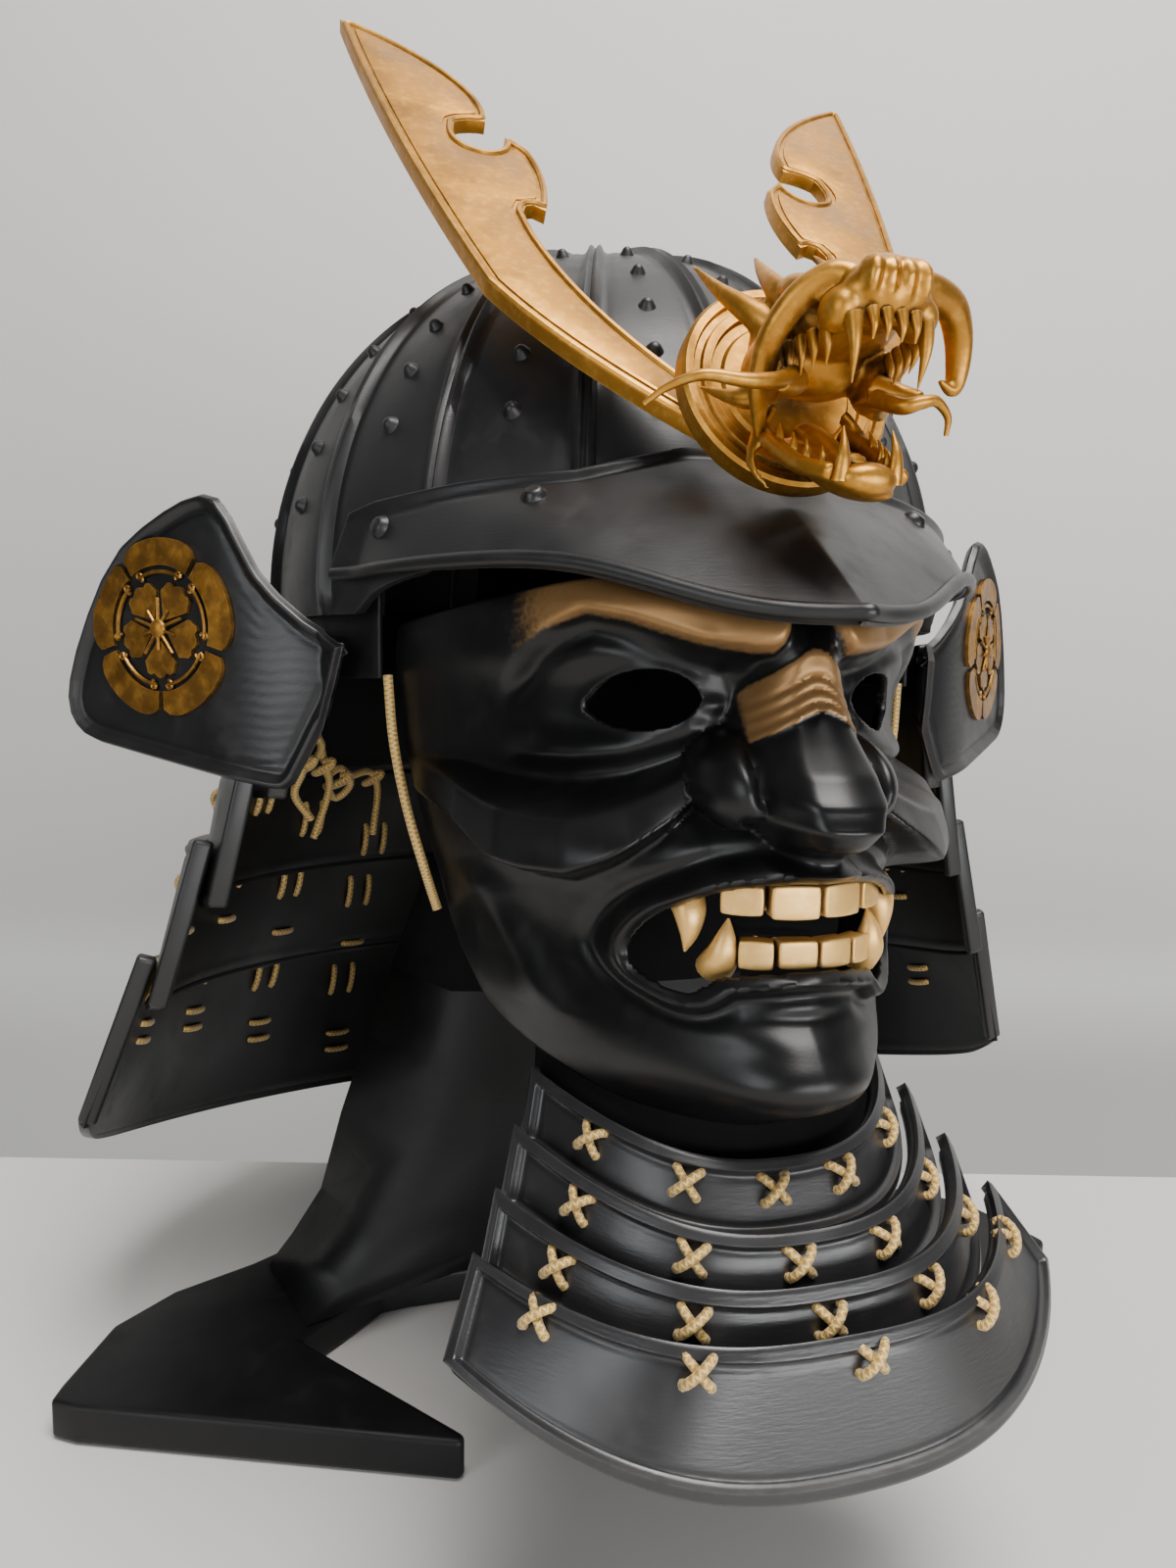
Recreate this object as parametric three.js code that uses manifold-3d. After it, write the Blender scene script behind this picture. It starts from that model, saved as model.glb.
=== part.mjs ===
// Samurai helmet with its face mask, throat guard and neck guard, on a display stand.
// Millimetres, +Z up. The wearer faces -Y and +X is the wearer's left.
// The origin is on the underside of the stand, below the middle of the helmet bowl.
import * as THREE from 'three';
import { mergeVertices } from 'three/addons/utils/BufferGeometryUtils.js';
import Module from 'manifold-3d';

const wasm = await Module();
wasm.setup();

// ---- driving dimensions ----
const GAP = 0.4;

const BASE_THICK = 13;
const STAND_TOP = 352;

const BOWL = { half: 116, front: 134, rear: 112, height: 120, centreZ: 265, wall: 3 };
const BOWL_RIM_Z = 258;
const BROW_RIM_Z = 271;
const BROW_ARCH_DEG = 52;
const RIB_COUNT = 18;
const RIB_HEIGHT = 2.2;
const RIB_HALF_DEG = 1.5;
const BOSS = { radius: 15, height: 4 };

const VISOR = { halfDeg: 53, halfWidth: 95, rootY: -72, reach: 128, sideZ: 268.4, dip: 13.6, wall: 3 };

const LAME_WALL = 3.4;
const TURNBACK_WALL = 3.4;
const FLOWER = { s: 46, z: 254, radius: 26, thick: 1.8 };

const CREST_LEAN = THREE.MathUtils.degToRad(42.7);
const BLADE_PLANE = 313;
const BLADE_THICK = 4.5;
const DISC = { radius: 25, thick: 6, y: -157, z: 306.5, leanDeg: 20 };

const MASK_WALL = 3;
const TEETH_FRONT = -171.5;
const THROAT_WALL = 3;
const CORD_RADIUS = 1.4;

const black = { color: 0x1a1a1c, roughness: 0.5, metalness: 0.05 };
const gold = { color: 0xb0823c, roughness: 0.42, metalness: 0.6 };
const braid = { color: 0xb9a15a, roughness: 0.6, metalness: 0.2 };

const part = new THREE.Group();

// ---- shared makers ----
function add(name, geometry, finish) {
  const mesh = new THREE.Mesh(geometry, new THREE.MeshStandardMaterial(finish));
  mesh.name = name;
  part.add(mesh);
  return mesh;
}

function mix(a, b, t) {
  return a + (b - a) * t;
}

function radians(degrees) {
  return THREE.MathUtils.degToRad(degrees);
}

// Reads a table of rows at place t, from 0 at the first row to 1 at the last.
function readTable(rows, t) {
  const place = Math.min(Math.max(t, 0), 1) * (rows.length - 1);
  const index = Math.min(Math.floor(place), rows.length - 2);
  const share = place - index;
  const row = {};
  for (const key of Object.keys(rows[0])) row[key] = mix(rows[index][key], rows[index + 1][key], share);
  return row;
}

// Welds equal corners, drops faces with no area and turns the shell so that its faces point out.
function closedShell(points, faces) {
  const loose = new THREE.BufferGeometry();
  loose.setAttribute('position', new THREE.Float32BufferAttribute(points.flatMap((p) => [p.x, p.y, p.z]), 3));
  loose.setIndex(faces.flat());
  const welded = mergeVertices(loose, 1e-3);
  const index = Array.from(welded.index.array);
  const place = welded.attributes.position;
  const kept = [];
  const a = new THREE.Vector3();
  const b = new THREE.Vector3();
  const c = new THREE.Vector3();
  let volume = 0;
  for (let k = 0; k < index.length; k += 3) {
    const [i, j, l] = index.slice(k, k + 3);
    if (i === j || j === l || l === i) continue;
    kept.push([i, j, l]);
    a.fromBufferAttribute(place, i);
    b.fromBufferAttribute(place, j);
    c.fromBufferAttribute(place, l);
    volume += a.dot(b.cross(c));
  }
  welded.setIndex(kept.flatMap(([i, j, l]) => (volume > 0 ? [i, j, l] : [i, l, j])));
  welded.computeVertexNormals();
  return welded;
}

// A closed plate over a grid. skin(s, t, depth) gives its points, with depth 0 outside and 1 inside.
// hole(i, j) leaves a cell out, and round joins the last column to the first.
function plate({ across, down, skin, round = false, hole = () => false }) {
  const columns = round ? across : across + 1;
  const points = [];
  for (const depth of [0, 1]) {
    for (let j = 0; j <= down; j++) {
      for (let i = 0; i < columns; i++) points.push(skin(i / across, j / down, depth));
    }
  }
  const at = (i, j, depth) => (depth * (down + 1) + j) * columns + (i % columns);
  const wrap = (i) => (i + across) % across;
  const inside = (i, j) => (round || (i >= 0 && i < across)) && j >= 0 && j < down && !hole(wrap(i), j);
  const faces = [];
  const quad = (p, q, r, s) => faces.push([p, q, r], [p, r, s]);
  for (let j = 0; j < down; j++) {
    for (let i = 0; i < across; i++) {
      if (!inside(i, j)) continue;
      const corner = [[i, j], [i + 1, j], [i + 1, j + 1], [i, j + 1]];
      const outer = corner.map(([u, v]) => at(u, v, 0));
      const inner = corner.map(([u, v]) => at(u, v, 1));
      quad(...outer);
      quad(inner[3], inner[2], inner[1], inner[0]);
      const beyond = [[i, j - 1], [i + 1, j], [i, j + 1], [i - 1, j]];
      beyond.forEach(([u, v], side) => {
        const next = (side + 1) % 4;
        if (!inside(u, v)) quad(outer[next], outer[side], inner[side], inner[next]);
      });
    }
  }
  return closedShell(points, faces);
}

// A closed solid through rings of points that all have the same count.
function loft(rings) {
  const count = rings[0].length;
  const points = rings.flat();
  const faces = [];
  for (let k = 0; k < rings.length - 1; k++) {
    for (let i = 0; i < count; i++) {
      const a = k * count + i;
      const b = k * count + ((i + 1) % count);
      faces.push([a, b, b + count], [a, b + count, a + count]);
    }
  }
  const last = (rings.length - 1) * count;
  for (let i = 1; i < count - 1; i++) faces.push([0, i + 1, i], [last, last + i, last + i + 1]);
  return closedShell(points, faces);
}

// A round bar along a smooth route, with its radius at each place t given by girth(t).
function bar(route, girth, steps = 12, sides = 8) {
  const curve = new THREE.CatmullRomCurve3(route.map((p) => new THREE.Vector3(...p)));
  const frames = curve.computeFrenetFrames(steps, false);
  const rings = [];
  for (let k = 0; k <= steps; k++) {
    const centre = curve.getPointAt(k / steps);
    const radius = girth(k / steps);
    const ring = [];
    for (let i = 0; i < sides; i++) {
      const turn = (i / sides) * 2 * Math.PI;
      ring.push(centre.clone()
        .addScaledVector(frames.normals[k], radius * Math.cos(turn))
        .addScaledVector(frames.binormals[k], radius * Math.sin(turn)));
    }
    rings.push(ring);
  }
  return loft(rings);
}

function toManifold(geometry) {
  const bare = geometry.clone();
  bare.deleteAttribute('normal');
  bare.deleteAttribute('uv');
  const welded = mergeVertices(bare, 1e-4);
  return new wasm.Manifold(new wasm.Mesh({
    numProp: 3,
    vertProperties: new Float32Array(welded.attributes.position.array),
    triVerts: new Uint32Array(welded.index.array),
  }));
}

function fromManifold(solid) {
  const mesh = solid.getMesh();
  const geometry = new THREE.BufferGeometry();
  geometry.setAttribute('position', new THREE.BufferAttribute(mesh.vertProperties, 3));
  geometry.setIndex(new THREE.BufferAttribute(mesh.triVerts, 1));
  geometry.computeVertexNormals();
  return geometry;
}

function joined(geometries) {
  return fromManifold(geometries.map(toManifold).reduce((all, next) => all.add(next)));
}

function mirrored(geometry) {
  const copy = geometry.clone();
  copy.scale(-1, 1, 1);
  const index = copy.index.array;
  for (let k = 0; k < index.length; k += 3) [index[k + 1], index[k + 2]] = [index[k + 2], index[k + 1]];
  copy.computeVertexNormals();
  return copy;
}

// Adds a piece on the wearer's right (-X) and its mirror image on the left (+X).
function addPair(name, rightGeometry, finish) {
  add(`${name}_right`, rightGeometry, finish);
  add(`${name}_left`, mirrored(rightGeometry), finish);
}

// ---- display stand ----
function standBase() {
  const wing = [[70, -7], [80, -8], [110, -34], [66, -87], [62, -92], [64, -95], [178, -50], [186, -45]];
  const rear = [[184, -38], [173, -10], [155, 6], [128, 18], [92, 40], [60, 62]];
  const half = [...wing, ...rear];
  const shape = new THREE.Shape();
  shape.moveTo(half[0][0], half[0][1]);
  for (const [x, y] of half.slice(1)) shape.lineTo(x, y);
  for (const [x, y] of [...half].reverse()) shape.lineTo(-x, y);
  const block = new THREE.ExtrudeGeometry(shape, { depth: BASE_THICK, bevelEnabled: false });
  return fromManifold(toManifold(block));
}

// The post is an eight-cornered column that flares into the wings of the base.
const POST_ROWS = [
  { z: BASE_THICK + GAP, rearX: 122, rearY: 14, sideX: 108, sideY: -28, faceX: 50, faceY: -8 },
  { z: 24, rearX: 113, rearY: 16, sideX: 94, sideY: -24, faceX: 48, faceY: -14 },
  { z: 40, rearX: 102, rearY: 18, sideX: 82, sideY: -22, faceX: 46, faceY: -20 },
  { z: 70, rearX: 94, rearY: 19, sideX: 70, sideY: -21, faceX: 42, faceY: -24 },
  { z: 100, rearX: 84, rearY: 20, sideX: 62, sideY: -20, faceX: 38, faceY: -25 },
  { z: 140, rearX: 70, rearY: 20, sideX: 54, sideY: -20, faceX: 34, faceY: -25 },
  { z: 200, rearX: 48, rearY: 20, sideX: 40, sideY: -20, faceX: 26, faceY: -24 },
  { z: STAND_TOP, rearX: 34, rearY: 20, sideX: 30, sideY: -18, faceX: 20, faceY: -22 },
];

function standPost() {
  return loft(POST_ROWS.map((row) => {
    const half = [[row.faceX, row.faceY], [row.sideX, row.sideY], [row.rearX, row.rearY]];
    const all = [...half, ...[...half].reverse().map(([x, y]) => [-x, y])];
    return all.map(([x, y]) => new THREE.Vector3(x, y, row.z));
  }));
}

// A low dome on the post, shaped to the inside of the bowl.
function standPad() {
  const radius = 52;
  const steps = 6;
  const inner = BOWL.half - BOWL.wall;
  const crown = BOWL.height - BOWL.wall;
  const profile = [new THREE.Vector2(0, STAND_TOP + GAP), new THREE.Vector2(radius * 0.8, STAND_TOP + GAP)];
  for (let k = 0; k <= steps; k++) {
    const r = radius * (1 - k / steps);
    const drop = Math.sqrt(1 - (r / (inner - 6)) ** 2);
    profile.push(new THREE.Vector2(r, BOWL.centreZ + crown * drop - 2 * GAP));
  }
  const dome = new THREE.LatheGeometry(profile, 24);
  dome.rotateX(Math.PI / 2);
  return fromManifold(toManifold(dome));
}

// ---- helmet bowl ----
// Direction angles: turn 0 faces the front (-Y) and grows towards the wearer's left (+X).
function bowlPoint(turn, rise, lift) {
  const forward = Math.cos(turn);
  const depth = forward > 0 ? BOWL.front : BOWL.rear;
  const x = (BOWL.half + lift) * Math.sin(turn) * Math.cos(rise);
  const y = -(depth + lift) * forward * Math.cos(rise);
  return new THREE.Vector3(x, y, BOWL.centreZ + (BOWL.height + lift) * Math.sin(rise));
}

function bowlRimRise(turn) {
  const away = Math.abs(THREE.MathUtils.radToDeg(turn)) / BROW_ARCH_DEG;
  const arch = away < 1 ? Math.sqrt(1 - away ** 4) : 0;
  return Math.asin((mix(BOWL_RIM_Z, BROW_RIM_Z, arch) - BOWL.centreZ) / BOWL.height);
}

// The visor's upper border on the bowl, as a rise angle.
function visorTopRise(turn) {
  const away = Math.min(Math.abs(THREE.MathUtils.radToDeg(turn)) / VISOR.halfDeg, 1);
  return radians(mix(15.5, 10, away ** 0.8));
}

function helmetBowl() {
  const perRib = 4;
  const offsets = [-RIB_HALF_DEG, -RIB_HALF_DEG / 2, RIB_HALF_DEG / 2, RIB_HALF_DEG];
  const columns = RIB_COUNT * perRib;
  return plate({
    across: columns,
    down: 8,
    round: true,
    skin: (s, t, depth) => {
      const column = Math.round(s * columns) % columns;
      const rib = Math.floor(column / perRib);
      const step = column % perRib;
      const degrees = (rib * 360) / RIB_COUNT + offsets[step];
      const turn = radians(degrees > 180 ? degrees - 360 : degrees);
      const rise = mix(bowlRimRise(turn), Math.PI / 2, t ** 0.9);
      const covered = Math.abs(turn) < radians(VISOR.halfDeg + 3) && rise < visorTopRise(turn) + radians(2);
      const raised = (step === 1 || step === 2) && !covered && t < 1;
      const lift = depth ? -BOWL.wall : (raised ? RIB_HEIGHT : 0);
      return bowlPoint(turn, rise, lift);
    },
  });
}

function crownBoss() {
  const top = BOWL.centreZ + BOWL.height + RIB_HEIGHT;
  const profile = [[0, 0.6], [BOSS.radius, -0.4], [BOSS.radius, 1.6], [BOSS.radius * 0.5, BOSS.height], [0, BOSS.height]];
  const boss = new THREE.LatheGeometry(profile.map(([r, z]) => new THREE.Vector2(r, z)), 16);
  boss.rotateX(Math.PI / 2);
  boss.translate(0, 0, top);
  return fromManifold(toManifold(boss));
}

// ---- visor ----
// The rim is a rounded point in plan; side runs from -1 at the wearer's right end to 1 at the left end.
function visorRim(side) {
  const inward = 1 - Math.abs(side) ** 1.5;
  const x = Math.sign(side) * VISOR.halfWidth * (1 - inward ** 1.7);
  const y = VISOR.rootY - VISOR.reach * inward + 4 * Math.exp(-((x / 14) ** 2));
  return new THREE.Vector3(x, y, VISOR.sideZ - VISOR.dip * Math.exp(-Math.abs((x / 40) ** 3)));
}

// Moves a point outwards in plan until it clears the bowl by lift.
function clearOfBowl(point, lift) {
  const up = (point.z - BOWL.centreZ) / (BOWL.height + lift);
  const out = Math.hypot(point.x / (BOWL.half + lift), point.y / (BOWL.front + lift));
  const needed = Math.sqrt(1 - up * up);
  if (out < needed) point.set((point.x * needed) / out, (point.y * needed) / out, point.z);
  return point;
}

function visor() {
  return plate({
    across: 28,
    down: 5,
    skin: (s, t, depth) => {
      const side = 2 * s - 1;
      const turn = side * radians(VISOR.halfDeg);
      const top = bowlPoint(turn, visorTopRise(turn), GAP + VISOR.wall);
      const rim = visorRim(side);
      const bulge = 1.5 * Math.sin(t * Math.PI) * Math.cos(side * Math.PI / 2);
      const point = top.lerp(rim, t);
      const out = new THREE.Vector3(Math.sin(turn) * 0.6, -Math.cos(turn) * 0.6, 0.8).normalize();
      point.addScaledVector(out, bulge);
      if (depth) point.addScaledVector(out, -VISOR.wall);
      return clearOfBowl(point, depth ? GAP + 0.3 : GAP + VISOR.wall);
    },
  });
}

// ---- neck guard ----
// Each lame hangs round the back. halfX and z are at its front ends, and rearY and rearZ at the back.
const NECK_LAMES = [
  { top: { halfX: 119, z: 255, rearY: 116, rearZ: 255, endY: -55 }, low: { halfX: 127, z: 203, rearY: 122, rearZ: 194, endY: -53 } },
  { top: { halfX: 133.5, z: 212, rearY: 127.5, rearZ: 206, endY: -47 }, low: { halfX: 143, z: 168, rearY: 134, rearZ: 150, endY: -43 } },
  { top: { halfX: 145, z: 188, rearY: 138, rearZ: 172, endY: -37 }, low: { halfX: 160, z: 134, rearY: 146, rearZ: 104, endY: -33 } },
  { top: { halfX: 162, z: 149, rearY: 149, rearZ: 118, endY: -28 }, low: { halfX: 182, z: 90, rearY: 158, rearZ: 30, endY: -15 } },
];

function neckPoint(lame, s, t, inward) {
  const edge = {};
  for (const key of Object.keys(lame.top)) edge[key] = mix(lame.top[key], lame.low[key], t);
  const limit = Math.acos(edge.endY / BOWL.front);
  const turn = mix(-limit, limit, s);
  const back = Math.cos(turn);
  const half = edge.halfX - inward;
  const depth = back > 0 ? edge.rearY - inward : BOWL.front;
  const end = edge.endY / BOWL.front;
  const share = Math.max((back - end) / (1 - end), 0) ** 0.7;
  return new THREE.Vector3(-half * Math.sin(turn), depth * back, mix(edge.z, edge.rearZ, share));
}

function neckLame(lame) {
  return plate({
    across: 24,
    down: 2,
    skin: (s, t, depth) => neckPoint(lame, s, t, depth * LAME_WALL),
  });
}

// ---- turnbacks ----
// The leaf stands in an upright plane from the cheek line out to the side; s runs along it, z is height.
const LEAF_ROOT = new THREE.Vector3(-113, -60.5, 0);
const LEAF_ALONG = new THREE.Vector3(-0.745, 0.667, 0);
const LEAF_OUT = new THREE.Vector3(-0.667, -0.745, 0);

const LEAF_ROWS = [
  { z: 294, near: 29, far: 34 },
  { z: 288, near: 20, far: 50 },
  { z: 276, near: 10, far: 67 },
  { z: 262, near: -2, far: 78 },
  { z: 249, near: -19, far: 85 },
  { z: 236, near: -14, far: 91 },
  { z: 222, near: -8, far: 87 },
  { z: 205, near: 0, far: 30 },
];

function leafPoint(s, z, out) {
  const curl = 7 * Math.max(0, 1 - Math.abs(s + 12) / 34) ** 2;
  const point = LEAF_ROOT.clone().addScaledVector(LEAF_ALONG, s).addScaledVector(LEAF_OUT, out - curl);
  point.z = z;
  return point;
}

function turnback() {
  return plate({
    across: 8,
    down: 14,
    skin: (s, t, depth) => {
      const row = readTable(LEAF_ROWS, t);
      const sag = 9 * s * t ** 6;
      return leafPoint(mix(row.near, row.far, s), row.z + sag, depth ? 0 : TURNBACK_WALL);
    },
  });
}

// Five round lobes in a ring on the leaf.
function crestFlower() {
  const lobes = 5;
  const perLobe = 6;
  const shape = new THREE.Shape();
  for (let k = 0; k <= lobes * perLobe; k++) {
    const turn = (k / (lobes * perLobe)) * 2 * Math.PI;
    const radius = FLOWER.radius * (0.9 + 0.1 * Math.abs(Math.sin((turn * lobes) / 2)));
    const place = [radius * Math.sin(turn), radius * Math.cos(turn)];
    if (k === 0) shape.moveTo(...place);
    else shape.lineTo(...place);
  }
  const disc = new THREE.ExtrudeGeometry(shape, { depth: FLOWER.thick, bevelEnabled: false });
  const place = disc.attributes.position;
  for (let k = 0; k < place.count; k++) {
    const out = TURNBACK_WALL + GAP + place.getZ(k);
    const point = leafPoint(FLOWER.s + place.getX(k), FLOWER.z + place.getY(k), out);
    place.setXYZ(k, point.x, point.y, point.z);
  }
  return closedShellOf(disc);
}

function closedShellOf(geometry) {
  const bare = geometry.clone();
  bare.deleteAttribute('normal');
  bare.deleteAttribute('uv');
  const welded = mergeVertices(bare, 1e-3);
  const points = [];
  for (let k = 0; k < welded.attributes.position.count; k++) {
    points.push(new THREE.Vector3().fromBufferAttribute(welded.attributes.position, k));
  }
  const faces = [];
  const index = Array.from(welded.index.array);
  for (let k = 0; k < index.length; k += 3) faces.push(index.slice(k, k + 3));
  return closedShell(points, faces);
}

// ---- crest ----
// Turns a shape drawn flat in (x, up) into the crest's leaning plane, with thickness towards the back.
function leanBack(geometry) {
  const up = new THREE.Vector3(0, Math.sin(CREST_LEAN), Math.cos(CREST_LEAN));
  const out = new THREE.Vector3(0, -Math.cos(CREST_LEAN), Math.sin(CREST_LEAN));
  const basis = new THREE.Matrix4().makeBasis(new THREE.Vector3(1, 0, 0), up, out);
  geometry.applyMatrix4(basis);
  geometry.translate(0, out.y * (BLADE_PLANE - BLADE_THICK), out.z * (BLADE_PLANE - BLADE_THICK));
  return geometry;
}

function crestBlade() {
  const shape = new THREE.Shape();
  shape.moveTo(-92, 334);
  shape.quadraticCurveTo(-82, 250, -61.5, 174);
  shape.quadraticCurveTo(-47, 146, -15, 117);
  shape.lineTo(-13, 134);
  shape.quadraticCurveTo(-37, 164, -44.8, 201);
  shape.lineTo(-46.5, 214);
  shape.quadraticCurveTo(-45, 223, -39.5, 217);
  shape.quadraticCurveTo(-34.5, 236, -39.5, 254);
  shape.lineTo(-45.6, 262);
  shape.quadraticCurveTo(-46.5, 249, -54, 249);
  shape.quadraticCurveTo(-64, 251, -60.5, 267);
  shape.lineTo(-50.5, 271);
  shape.quadraticCurveTo(-48, 283, -57, 299);
  shape.quadraticCurveTo(-68, 319, -92, 334);
  const blade = new THREE.ExtrudeGeometry(shape, { depth: BLADE_THICK, bevelEnabled: false, curveSegments: 6 });
  return leanBack(fromManifold(toManifold(blade)));
}

function crestDisc() {
  const { radius, thick } = DISC;
  const groove = thick - 1.5;
  const rings = [[0, 0], [radius, 0], [radius, thick], [radius - 3, thick], [radius - 4, groove],
    [radius - 8, groove], [radius - 9, thick], [0, thick]];
  const disc = new THREE.LatheGeometry(rings.map(([r, z]) => new THREE.Vector2(r, z)), 28);
  disc.rotateX(Math.PI - radians(DISC.leanDeg));
  disc.translate(0, DISC.y + DISC.thick, DISC.z);
  return fromManifold(toManifold(disc));
}

// ---- dragon head on the crest ----
// Rows run from the neck on the disc to the snout: middle (y, z), half width and half height.
const SKULL_ROWS = [
  { y: -162.5, z: 309, halfX: 13, halfZ: 11 },
  { y: -168, z: 311, halfX: 16, halfZ: 11 },
  { y: -175, z: 313, halfX: 15, halfZ: 9 },
  { y: -184, z: 314, halfX: 11.5, halfZ: 6 },
  { y: -193, z: 315, halfX: 10.5, halfZ: 6 },
  { y: -199, z: 313, halfX: 8, halfZ: 4.5 },
];
const JAW_ROWS = [
  { y: -166, z: 292, halfX: 11, halfZ: 5 },
  { y: -172, z: 288, halfX: 12, halfZ: 4 },
  { y: -178, z: 283, halfX: 11, halfZ: 3.2 },
  { y: -188, z: 279, halfX: 8, halfZ: 3 },
  { y: -194, z: 280, halfX: 4.5, halfZ: 3.5 },
];

function ovalRings(rows, sides) {
  return rows.map((row) => {
    const ring = [];
    for (let k = 0; k < sides; k++) {
      const turn = (k / sides) * 2 * Math.PI;
      ring.push(new THREE.Vector3(row.halfX * Math.cos(turn), row.y, row.z + row.halfZ * Math.sin(turn)));
    }
    return ring;
  });
}

function fang(x, y, z, length, radius) {
  return bar([[x, y, z], [x, y - length * 0.12, z + length / 2], [x, y, z + length]],
    (t) => mix(radius, 0.25, t), 3, 6);
}

function spike(route, radius) {
  return bar(route, (t) => mix(radius, 0.4, t), 5, 6);
}

function dragonSkull() {
  const pieces = [loft(ovalRings(SKULL_ROWS, 12))];
  for (const side of [-1, 1]) {
    const horn = [[10, -166, 314], [19, -160, 319], [26, -152, 326], [30, -145, 333]];
    const brow = [[8, -174, 318], [13, -167, 326], [17, -159, 333]];
    const tusk = [[7, -188, 314], [20, -188, 312], [28, -180, 306], [30, -172, 298], [25, -168, 292]];
    pieces.push(spike(horn.map(([x, y, z]) => [side * x, y, z]), 3.6));
    pieces.push(spike(brow.map(([x, y, z]) => [side * x, y, z]), 3));
    pieces.push(spike(tusk.map(([x, y, z]) => [side * x, y, z]), 3.4));
    pieces.push(fang(side * 6.5, -194, 312, -12, 2.2));
    pieces.push(fang(side * 9, -184, 311, -9, 1.8));
  }
  return joined(pieces);
}

function dragonJaw() {
  const pieces = [loft(ovalRings(JAW_ROWS, 10))];
  for (const side of [-1, 1]) {
    pieces.push(fang(side * 6, -188, 280, 12, 1.7));
    pieces.push(fang(side * 8.5, -179, 284, 7, 1.4));
  }
  return joined(pieces);
}

function dragonWhisker() {
  const route = [[-12.5, -192, 307], [-24, -200, 303], [-35, -196, 306], [-43, -186, 302]];
  return spike(route, 1.6);
}

// ---- face mask ----
// Each row is a level of the face: its middle (frontY, z) and its side edge (halfX, sideY, sideZ).
const FACE_ROWS = [
  { frontY: -156, z: 267, halfX: 80, sideY: -76, sideZ: 255, round: 1.5 },
  { frontY: -172, z: 252, halfX: 81, sideY: -76, sideZ: 247, round: 1.3 },
  { frontY: -166, z: 240, halfX: 80, sideY: -76, sideZ: 236, round: 1.15 },
  { frontY: -163, z: 228, halfX: 78.5, sideY: -77, sideZ: 222, round: 1.2 },
  { frontY: -168, z: 214, halfX: 75.5, sideY: -78, sideZ: 208, round: 1.6 },
  { frontY: -179, z: 202, halfX: 72.5, sideY: -79, sideZ: 196, round: 1.5 },
  { frontY: -177, z: 188, halfX: 69.5, sideY: -80, sideZ: 186, round: 1.1 },
  { frontY: -178, z: 174, halfX: 67.5, sideY: -81, sideZ: 178, round: 1.05 },
  { frontY: -183, z: 160, halfX: 65.5, sideY: -83, sideZ: 170, round: 1.05 },
  { frontY: -181, z: 149, halfX: 62.5, sideY: -86, sideZ: 161, round: 1.2 },
  { frontY: -161, z: 135, halfX: 58, sideY: -90, sideZ: 151, round: 1.6 },
];
const FACE_COLUMNS = 24;
const FACE_DOWN = 20;
const NOSE = { z: 216, halfX: 15, up: 24, down: 12, out: 27 };

function nosePush(x, z) {
  const rise = z > NOSE.z ? (z - NOSE.z) / NOSE.up : (NOSE.z - z) / NOSE.down;
  const width = NOSE.halfX * (z > NOSE.z ? mix(1, 0.5, Math.min(rise, 1)) : 1);
  const across = Math.min(Math.abs(x) / width, 1);
  const down = Math.min(rise, 1);
  return NOSE.out * Math.cos((across * Math.PI) / 2) * Math.cos((down * Math.PI) / 2);
}

function facePoint(s, t, inward) {
  const row = readTable(FACE_ROWS, t);
  const turn = (2 * s - 1) * (Math.PI / 2);
  const forward = Math.max(Math.cos(turn), 0) ** (2 / row.round);
  const half = row.halfX - inward;
  const x = half * Math.sin(turn);
  const z = mix(row.sideZ, row.z, forward);
  const y = mix(row.sideY, row.frontY + inward, forward) - nosePush(x, z);
  return new THREE.Vector3(x, y, z);
}

// Cells left out of the face grid, as [first column, last column, first row, last row].
const FACE_HOLES = [[8, 9, 4, 5], [14, 15, 4, 5], [8, 15, 12, 13]];

function maskShell() {
  return plate({
    across: FACE_COLUMNS,
    down: FACE_DOWN,
    skin: (s, t, depth) => facePoint(s, t, depth * MASK_WALL),
    hole: (i, j) => FACE_HOLES.some(([left, right, top, low]) => i >= left && i <= right && j >= top && j <= low),
  });
}

// A row of teeth along the mouth: a curved strip with a longer fang at each end.
function teeth(z, height, halfX, fangLength, fangX) {
  const strip = plate({
    across: 8,
    down: 1,
    skin: (s, t, depth) => {
      const x = mix(-halfX, halfX, s);
      return new THREE.Vector3(x, TEETH_FRONT + 0.022 * x * x + depth * 4, mix(z + height / 2, z - height / 2, t));
    },
  });
  const pieces = [strip];
  for (const side of [-1, 1]) {
    pieces.push(fang(side * fangX, TEETH_FRONT + 2 + 0.022 * fangX * fangX, z, fangLength, 3));
  }
  return joined(pieces);
}

// ---- throat guard ----
const THROAT_LAMES = [
  { topX: 49.5, topY: -122, topZ: 139, midY: -168, midZ: 130, lowX: 54, lowY: -128, lowZ: 121, dropY: -176, dropZ: 113 },
  { topX: 56, topY: -132, topZ: 128, midY: -181, midZ: 119, lowX: 61, lowY: -138, lowZ: 110, dropY: -186, dropZ: 102 },
  { topX: 62.7, topY: -142, topZ: 117, midY: -190, midZ: 112, lowX: 68, lowY: -148, lowZ: 98, dropY: -195, dropZ: 90 },
  { topX: 69.9, topY: -152, topZ: 107, midY: -199, midZ: 106, lowX: 79, lowY: -166, lowZ: 91, dropY: -206, dropZ: 76 },
];
const THROAT_SQUARE = 2.9;

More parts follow.
